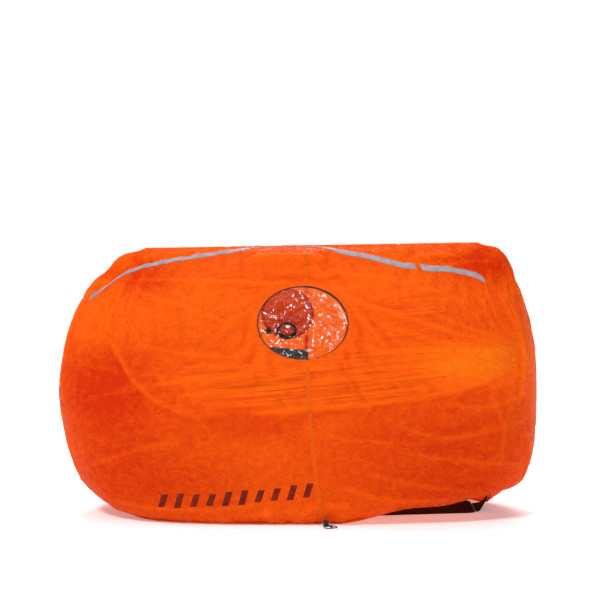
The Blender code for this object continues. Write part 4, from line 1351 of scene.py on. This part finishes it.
def build_vent(orange, webbing, cord):
    """The vent: its sleeve tucked into the shelter, with its mouth band, collar and cords."""
    vent = vent_frame()
    base, inward = vent[:2]
    angles = round_angles(260)
    build_sleeve(vent, angles, orange)
    build_mouth_band(vent, angles, webbing)
    collar = build_binding("vent_collar_tape", np.array((VENT_X, VENT_Z)),
                           np.array((VENT_RADIUS, VENT_RADIUS)) + 0.001, False, 0.0075, 0.0011,
                           orange, "vent_collar")
    set_plain_uv(collar)
    mouth = base + inward * (VENT_LENGTH + GAP + 0.5 * VENT_BAND_LENGTH)
    build_vent_cords(mouth, inward, cord)


def build_sleeve(vent, angles, orange):
    """The pleated sleeve, from the round opening in the back to its drawn mouth."""
    inward = vent[1]
    rings = 30
    points = []
    wobble = wander(np.cos(angles), 2.0, 4.4) * 0.5 + wander(np.sin(angles), 2.0, 9.1) * 0.5
    for r in range(rings + 1):
        share = r / rings
        radius = np.interp(share, (0.0, 0.60, 1.0), (0.0745, 0.0400, VENT_MOUTH_RADIUS))
        sharp = np.abs(np.sin(0.5 * (angles * VENT_PLEATS + 2.2 * wobble)))
        depth = 0.0052 * smoothstep(0.0, 0.55, share) * (1.0 - 0.55 * smoothstep(0.82, 1.0, share))
        reach = radius - depth * (1.0 - sharp) + 0.0015 * wobble * share
        ring = vent_ring(vent, share * VENT_LENGTH, reach, angles)
        if share < 0.25:
            wall = skin_at(VENT_X - VENT_RADIUS * np.cos(angles),
                           VENT_Z - VENT_RADIUS * np.sin(angles), False)
            wall = wall + inward * 0.0006
            keep = (1.0 - share / 0.25) ** 1.5
            ring = ring * (1.0 - keep) + wall * keep
        points.append(ring)
    points = np.concatenate(points)
    faces = grid_faces(rings + 1, len(angles), wrap=True)
    ruffle, ruffle_faces = vent_ruffle(vent, angles)
    faces += [tuple(v + len(points) for v in face) for face in ruffle_faces]
    points = np.concatenate((points, ruffle))
    sleeve = add_piece("vent_sleeve_fabric", points, faces, orange)
    set_plain_uv(sleeve)
    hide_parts("vent_sleeve")


def build_mouth_band(vent, angles, webbing):
    """The band round the sleeve's mouth, pressed into small flutes by the drawcord."""
    count = 14
    band = []
    for k in range(count):
        a = TAU * k / count
        radius = VENT_MOUTH_RADIUS + 0.0046 * math.cos(a) + 0.0030 * math.sin(a)
        height = VENT_LENGTH + GAP + 0.5 * VENT_BAND_LENGTH * (1.0 + math.sin(a))
        flutes = 0.0005 * np.sin(angles * VENT_PLEATS)
        band.append(vent_ring(vent, height, radius + flutes, angles))
    ring = add_piece("vent_mouth_tape", np.concatenate(band), closed_faces(count, len(angles)),
                     webbing)
    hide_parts("vent_mouth_band")


def vent_ruffle(vent, angles):
    """The sleeve's gathered end, which bunches up inside the drawn mouth."""
    rings = 10
    points = []
    for r in range(rings):
        share = r / (rings - 1)
        folds = np.sin(angles * VENT_PLEATS + 3.0 * share) + 0.5 * np.sin(angles * 9.0 + 1.0)
        radius = (VENT_MOUTH_RADIUS - 0.0035) * (1.0 - share) + 0.0042 * share
        depth = VENT_LENGTH + 0.0020 - 0.016 * math.sin(1.9 * share) + 0.0016 * folds * share
        reach = radius * (1.0 + 0.07 * folds * share)
        points.append(vent_ring(vent, depth, reach, angles))
    return np.concatenate(points), grid_faces(rings, len(angles), wrap=True)


def set_plain_uv(piece):
    """Cloth coordinates in metres for a small piece, straight from X and Z."""
    points = np.empty(len(piece.data.vertices) * 3)
    piece.data.vertices.foreach_get("co", points)
    set_cloth_uv(piece.data, points.reshape(-1, 3)[:, (0, 2)])


def build_vent_cords(mouth, inward, finish):
    """The vent's drawcord round its mouth, and the loop that hangs from its lock."""
    left = np.array((-1.0, 0.0, 0.0))
    ring = VENT_MOUTH_RADIUS + VENT_CORD_RADIUS + 0.0014
    strand = VENT_CORD_RADIUS + 0.0006
    lock = mouth + left * VENT_LOCK_OUT
    back = np.array((0.0, strand, 0.0))
    fall = np.cross(inward, left)
    route = [lock + left * 0.0105 + back, lock + back, lock - left * 0.020 + back]
    turns, open_angle = 18, 0.30
    for i in range(turns + 1):
        angle = open_angle + (TAU - 2.0 * open_angle) * i / turns
        route.append(mouth + left * (ring * math.cos(angle)) - fall * (ring * math.sin(angle)))
    route += [lock - left * 0.020 - back, lock - back, lock + left * 0.0105 - back]
    drawcord = braided("vent_drawcord_braid", smooth_route(route, 130), VENT_CORD_RADIUS, finish)
    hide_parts("vent_drawcord")

    strand_path = ((-0.0110, 0.0), (-0.0170, -0.0012), (-0.0215, -0.0065), (-0.0230, -0.015),
                   (-0.0230, -0.032), (-0.0232, -0.048), (-0.0234, -0.056))
    spread = (1.0, 1.1, 1.5, 2.0, 2.8, 2.8, 1.9)
    down_side = [(lock[0] + x, lock[1] + strand * wide, lock[2] + z)
                 for (x, z), wide in zip(strand_path, spread)]
    up_side = [(x, 2.0 * lock[1] - y, z) for x, y, z in reversed(down_side)]
    route = smooth_route(down_side + [(lock[0] - 0.0234, lock[1], lock[2] - 0.0592)] + up_side, 90)
    tail = braided("vent_cord_loop", route, VENT_CORD_RADIUS, finish)
    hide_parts("vent_cord_tail")


def braided(name, route, radius, finish):
    """A round cord as a tube with the faint bulges of its braid."""
    count = len(route)
    bulge = radius * (1.0 + 0.05 * np.sin(np.arange(count) * 2.1))
    points, faces = tube(route, bulge, sides=12)
    return add_piece(name, points, faces, finish)


# ---------------------------------------------------------------- hem
def hem_turns(count):
    """Directions round Z of the hem, from the left mouth of its casing to the right mouth."""
    middle = float(turn_at(EXIT_X, 0.0))
    step = 0.01
    per_metre = 2.0 * step / np.linalg.norm(skin(middle + step, 0.0) - skin(middle - step, 0.0))
    half = EXIT_HALF_GAP * per_metre
    start, end = middle - half, middle + half - TAU
    return np.linspace(start, end, count)


def build_hem(orange, finish):
    """The hem's casing, a soft tunnel gathered along its cord, and the cord inside it."""
    fine = skin(hem_turns(1600), 0.0)
    count, sides = 1150, 12
    at = np.linspace(0.0, distances(fine)[-1], count)
    route = points_at(fine, at)
    gather = 0.5 + 0.5 * wander(at, 120.0, 2.9)
    fold = wander(at, 46.0, 6.6)
    out = np.gradient(route, axis=0)
    out = unit(np.stack((out[:, 1], -out[:, 0], np.zeros(count)), axis=1))
    out *= np.where((out * route * (1, 1, 0)).sum(axis=1) > 0, 1.0, -1.0)[:, None]
    cord = braided("hem_drawcord_braid", route[::2], HEM_CORD_RADIUS, finish)
    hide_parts("hem_drawcord")
    route = route + out * (0.0012 * fold)[:, None]
    tall = 0.0043 * (0.86 + 0.14 * gather)
    deep = 0.0040 * (0.72 + 0.40 * gather)
    points = []
    for k in range(sides):
        a = TAU * k / sides
        points.append(route + out * (deep * math.cos(a))[:, None]
                      + UP * (tall * math.sin(a))[:, None])
    points = np.stack(points, axis=1).reshape(-1, 3)
    points[:, 2] = np.maximum(points[:, 2], 0.0002)
    faces = grid_faces(count, sides, wrap=True)
    casing = add_piece("hem_casing_fabric", points, faces, orange)
    set_plain_uv(casing)
    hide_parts("hem_casing")


def tail_route():
    """Route of the cord tail on the ground, from mouth to mouth of the hem's casing."""
    ends = skin(hem_turns(2), 0.0)
    left, right = ends[0], ends[1]
    out = 0.030
    x, y = 0.5 * (left[0] + right[0]), left[1]
    low = HEM_CORD_RADIUS + 0.0004
    high = low + 0.0047
    strand, lock = 0.0024, 0.0095
    under = left[2] + 0.0020
    return [
        (left[0] + 0.0010, left[1], left[2]), (x - 0.0065, y - 0.0015, left[2]),
        (x - strand - 0.0012, y - 0.0075, under), (x - strand, y - out + 0.016, lock),
        (x - strand, y - out - 0.010, lock), (x - strand - 0.003, y - out - 0.020, 0.004),
        (x - 0.004, y - out - 0.031, low), (x + 0.006, y - out - 0.037, low),
        (x + 0.017, y - out - 0.033, low), (x + 0.019, y - out - 0.022, low),
        (x + 0.011, y - out - 0.017, high), (x + 0.010, y - out - 0.026, high),
        (x + 0.020, y - out - 0.030, low), (x + 0.031, y - out - 0.022, low),
        (x + 0.030, y - out - 0.008, low), (x + 0.017, y - out - 0.0045, 0.003),
        (x + 0.008, y - out - 0.011, 0.006), (x + strand, y - out - 0.008, lock),
        (x + strand, y - out + 0.016, lock),
        (x + strand + 0.0012, y - 0.0075, under), (x + 0.0065, y - 0.0015, right[2]),
        (right[0] - 0.0010, right[1], right[2]),
    ]


def build_hem_cord(finish):
    route = smooth_route(tail_route(), 170)
    tail = braided("hem_cord_loops", route, HEM_CORD_RADIUS, finish)
    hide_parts("hem_cord_tail")


def finish_locks(plastic, steel):
    """The cord locks and springs keep their CAD shape, with softened edges and better finish."""
    for prefix in ("hem", "vent"):
        for part, finish in (("body", plastic), ("plunger", plastic), ("spring", steel)):
            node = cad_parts[f"{prefix}_lock_{part}"]
            node.data.materials.clear()
            node.data.materials.append(finish)
            node.data.shade_smooth()
            if part == "spring":
                continue
            edge = node.modifiers.new("soft_edges", "BEVEL")
            edge.width = 0.0006
            edge.segments = 3
            edge.limit_method = "ANGLE"
            edge.angle_limit = math.radians(40)
            node.data.set_sharp_from_angle(angle=math.radians(50))


# ---------------------------------------------------------------- seat mats
MAT_THICKNESS = 0.0025
MATS = {
    "left": (-0.445, -0.110, (-0.120, 0.120), (-0.205, 0.170)),
    "right": (0.545, 0.225, (-0.060, 0.130), (-0.105, 0.185)),
}
SKIRT_Y = (-0.045, 0.085)
# how far each skirt runs out from its mat, and how far it rises from its front to its back
SKIRTS = {"left": (0.026, (0.020, 0.020, 0.020)), "right": (0.038, (0.052, 0.036, 0.012))}


def rounded_outline(corners, radius):
    """Outline through the corners, each one rounded off."""
    steps = 12
    outline = []
    for k, here in enumerate(corners):
        before, after = np.array(corners[k - 1]), np.array(corners[(k + 1) % len(corners)])
        here = np.array(here)
        start, end = here + unit(before - here) * radius, here + unit(after - here) * radius
        for j in range(steps + 1):
            f = j / steps
            outline.append(start * (1 - f) ** 2 + here * 2 * f * (1 - f) + end * f * f)
    return np.array(outline)


def resample_loop(outline, count):
    """count points, evenly spaced, round a closed outline."""
    ring = np.vstack((outline, outline[:1]))
    return points_at(ring, np.linspace(0.0, distances(ring)[-1], count + 1)[:-1])


def build_mat(side, coated):
    """A seat mat: a limp coated sheet with a bound, stitched edge, lying on the ground."""
    outer, inner, outer_y, inner_y = MATS[side]
    corners = [(outer, outer_y[0]), (outer, outer_y[1]), (inner, inner_y[1]), (inner, inner_y[0])]
    loop = resample_loop(rounded_outline(corners, 0.022), 240)
    centre = loop.mean(axis=0)
    rings = 34
    points = []
    for r in range(1, rings + 1):
        share = r / rings
        for x, y in centre + (loop - centre) * share * 0.992:
            wave = 0.55 + 0.45 * noise.noise((x * 14.0, y * 14.0, 2.0 if side == "left" else 8.0))
            crease = 1.0 - abs(noise.noise((x * 26.0, y * 40.0, 5.0))) * 2.4
            ditch = 0.5 * math.exp(-((1.0 - share) * 0.16 / 0.0030 - 3.0) ** 2)
            top = MAT_THICKNESS * min(1.0, 0.72 + 0.20 * wave + 0.10 * crease - 0.35 * ditch)
            points.append((x, y, top))
    rim_steps = 7
    for k in range(1, rim_steps + 1):
        a = math.pi * k / rim_steps
        for x, y in centre + (loop - centre) * (0.992 + 0.008 * math.sin(a)):
            points.append((x, y, 0.00125 + 0.00105 * math.cos(a)))
    under = 5
    for k in range(1, under + 1):
        for x, y in centre + (loop - centre) * 0.992 * (1.0 - k / (under + 1)):
            points.append((x, y, 0.0002))
    total = rings + rim_steps + under
    faces = grid_faces(total, len(loop), wrap=True)
    top_middle, low_middle = len(points), len(points) + 1
    points += [(centre[0], centre[1], 0.9 * MAT_THICKNESS), (centre[0], centre[1], 0.0002)]
    count = len(loop)
    faces += [(top_middle, (j + 1) % count, j) for j in range(count)]
    base = (total - 1) * count
    faces += [(low_middle, base + j, base + (j + 1) % count) for j in range(count)]
    mat = add_piece(f"seat_mat_{side}_fabric", points, faces, coated,
                    body=f"mat_{side}")
    fix_normals(mat)
    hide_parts(f"seat_mat_{side}")


def fix_normals(piece):
    work = bmesh.new()
    work.from_mesh(piece.data)
    bmesh.ops.recalc_face_normals(work, faces=work.faces)
    work.to_mesh(piece.data)
    work.free()


def build_skirt(side, coated):
    """The gathered black skirt that joins a seat mat's outer edge to the hem."""
    outer = MATS[side][0]
    outward = 1.0 if outer > 0 else -1.0
    low, high = SKIRT_Y
    out, rises = SKIRTS[side]
    count, steps = 90, 15
    points = []
    for k in range(count):
        y = low + (high - low) * k / (count - 1)
        top = np.interp(y, (low, 0.5 * (low + high), high), rises)
        profile = np.array(((0.0006, 0.0015), (0.31 * out, 0.0032), (0.69 * out, 0.5 * top),
                            (out, top)))
        pleat = noise.noise((y * 95.0, 1.0 + outward, 0.0))
        wide = noise.noise((y * 34.0, 4.0 + outward, 0.0))
        for step, (run, rise) in enumerate(catmull(profile, np.linspace(0, 3, steps))):
            share = step / (steps - 1)
            points.append((outer + outward * (run + (0.0014 * pleat + 0.0016 * wide) * share), y,
                           max(0.0008, rise + 0.0012 * pleat * share)))
    skirt = add_piece(f"seat_skirt_{side}_fabric", points, grid_faces(count, steps), coated)
    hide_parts(f"seat_skirt_{side}")


# ---------------------------------------------------------------- studio
def spread(tree, value, low, high, at_low, at_high):
    """A node that eases from at_low to at_high while the value goes from low to high."""
    node = tree.nodes.new("ShaderNodeMapRange")
    node.interpolation_type = "SMOOTHSTEP"
    tree.links.new(value, node.inputs["Value"])
    for key, number in (("From Min", low), ("From Max", high), ("To Min", at_low),
                        ("To Max", at_high)):
        node.inputs[key].default_value = number
    return node.outputs[0]


def build_floor():
    """A white floor that glows a little, so it is as bright as the background."""
    n = Nodes("studio_floor")
    n.set(Base_Color=(0.94, 0.94, 0.94, 1.0), Roughness=0.9, Specular_IOR_Level=0.1,
          Emission_Color=(1.0, 1.0, 1.0, 1.0), Emission_Strength=0.22)
    bpy.ops.mesh.primitive_plane_add(size=12.0, location=(0.0, -1.2, -0.0002))
    floor = bpy.context.object
    floor.name = "studio_floor"
    floor.data.materials.append(n.material)


def build_background():
    """A white world: bright low down, and brighter behind the shelter than in front of it."""
    world = bpy.data.worlds.new("studio")
    bpy.context.scene.world = world
    world.use_nodes = True
    tree = world.node_tree
    sky = tree.nodes["Background"]
    sky.inputs["Color"].default_value = (1.0, 1.0, 1.0, 1.0)
    way = tree.nodes.new("ShaderNodeTexCoord")
    parts = tree.nodes.new("ShaderNodeSeparateXYZ")
    tree.links.new(way.outputs["Generated"], parts.inputs[0])
    low = spread(tree, parts.outputs["Z"], 0.14, 0.36, 1.0, 0.0)
    behind = spread(tree, parts.outputs["Y"], -0.30, 0.30, 0.30, 0.86)
    glow = tree.nodes.new("ShaderNodeMath")
    glow.operation = "MULTIPLY_ADD"
    tree.links.new(low, glow.inputs[0])
    tree.links.new(behind, glow.inputs[1])
    glow.inputs[2].default_value = 0.16
    tree.links.new(glow.outputs[0], sky.inputs["Strength"])


def build_lamps():
    """Square lamps aimed at the shelter, and one over the floor behind it."""
    lamps = (
        ("key", (-2.0, -2.6, 3.6), 0.8, 128.0), ("fill", (2.8, -2.4, 1.2), 1.2, 16.0),
        ("back", (0.3, 2.4, 1.7), 1.6, 80.0), ("top", (0.2, -0.4, 3.8), 3.2, 52.0),
        ("sweep", (0.0, 4.4, 4.5), 6.0, 340.0),
    )
    for name, place, size, power in lamps:
        data = bpy.data.lights.new(name, "AREA")
        data.size = size
        data.energy = power
        lamp = bpy.data.objects.new(name, data)
        bpy.context.scene.collection.objects.link(lamp)
        lamp.location = place
        target = Vector((0.0, 0.0, 0.4)) if name != "sweep" else Vector((0.0, 4.4, 0.0))
        lamp.rotation_euler = (target - lamp.location).to_track_quat("-Z", "Y").to_euler()


make_camera()
black_cord = woven_material("braided_cord", (0.006, 0.006, 0.006), 0.0012, 0.8)
build_hem_cord(black_cord)

orange = ripstop_material("ripstop", (1.0, 0.142, 0.005), (0.66, 0.031, 0.003))
orange_roof = ripstop_material("ripstop_roof", (1.0, 0.142, 0.005), (0.66, 0.031, 0.003),
                               shine=0.06)
orange_tape = ripstop_material("ripstop_tape", (1.0, 0.175, 0.006), (0.76, 0.055, 0.003), 0.18)
orange_thread = woven_material("orange_thread", (0.80, 0.085, 0.010), 0.0008, 0.6)
grey_thread = woven_material("grey_thread", (0.20, 0.16, 0.18), 0.0008, 0.6)
webbing = woven_material("black_webbing", (0.010, 0.007, 0.007), 0.0016)

cover = make_cover()
panels = build_fabric(cover, orange, orange_roof)
build_strips(cover, strip_material(), grey_thread)
build_tapes(cover, orange_tape, orange_thread)
build_corner_seams(cover, orange_thread)
build_print(cover, ink_material())
build_window(film_material(), webbing, webbing)
# the same ripstop made darker and redder: painted shade on the vent's sleeve and collar inside the
# shelter
shaded_sleeve_cloth = ripstop_material("ripstop_vent_painted_shade", (0.78, 0.055, 0.004), (0.38, 0.011, 0.003), 0.14)
build_vent(shaded_sleeve_cloth, webbing, black_cord)
build_hem(orange, black_cord)
finish_locks(plastic_material(), steel_material())
coated = coated_material()
for mat_side in ("left", "right"):
    build_mat(mat_side, coated)
    build_skirt(mat_side, coated)
build_floor()
build_background()
build_lamps()
bpy.context.scene.view_settings.view_transform = "Standard"
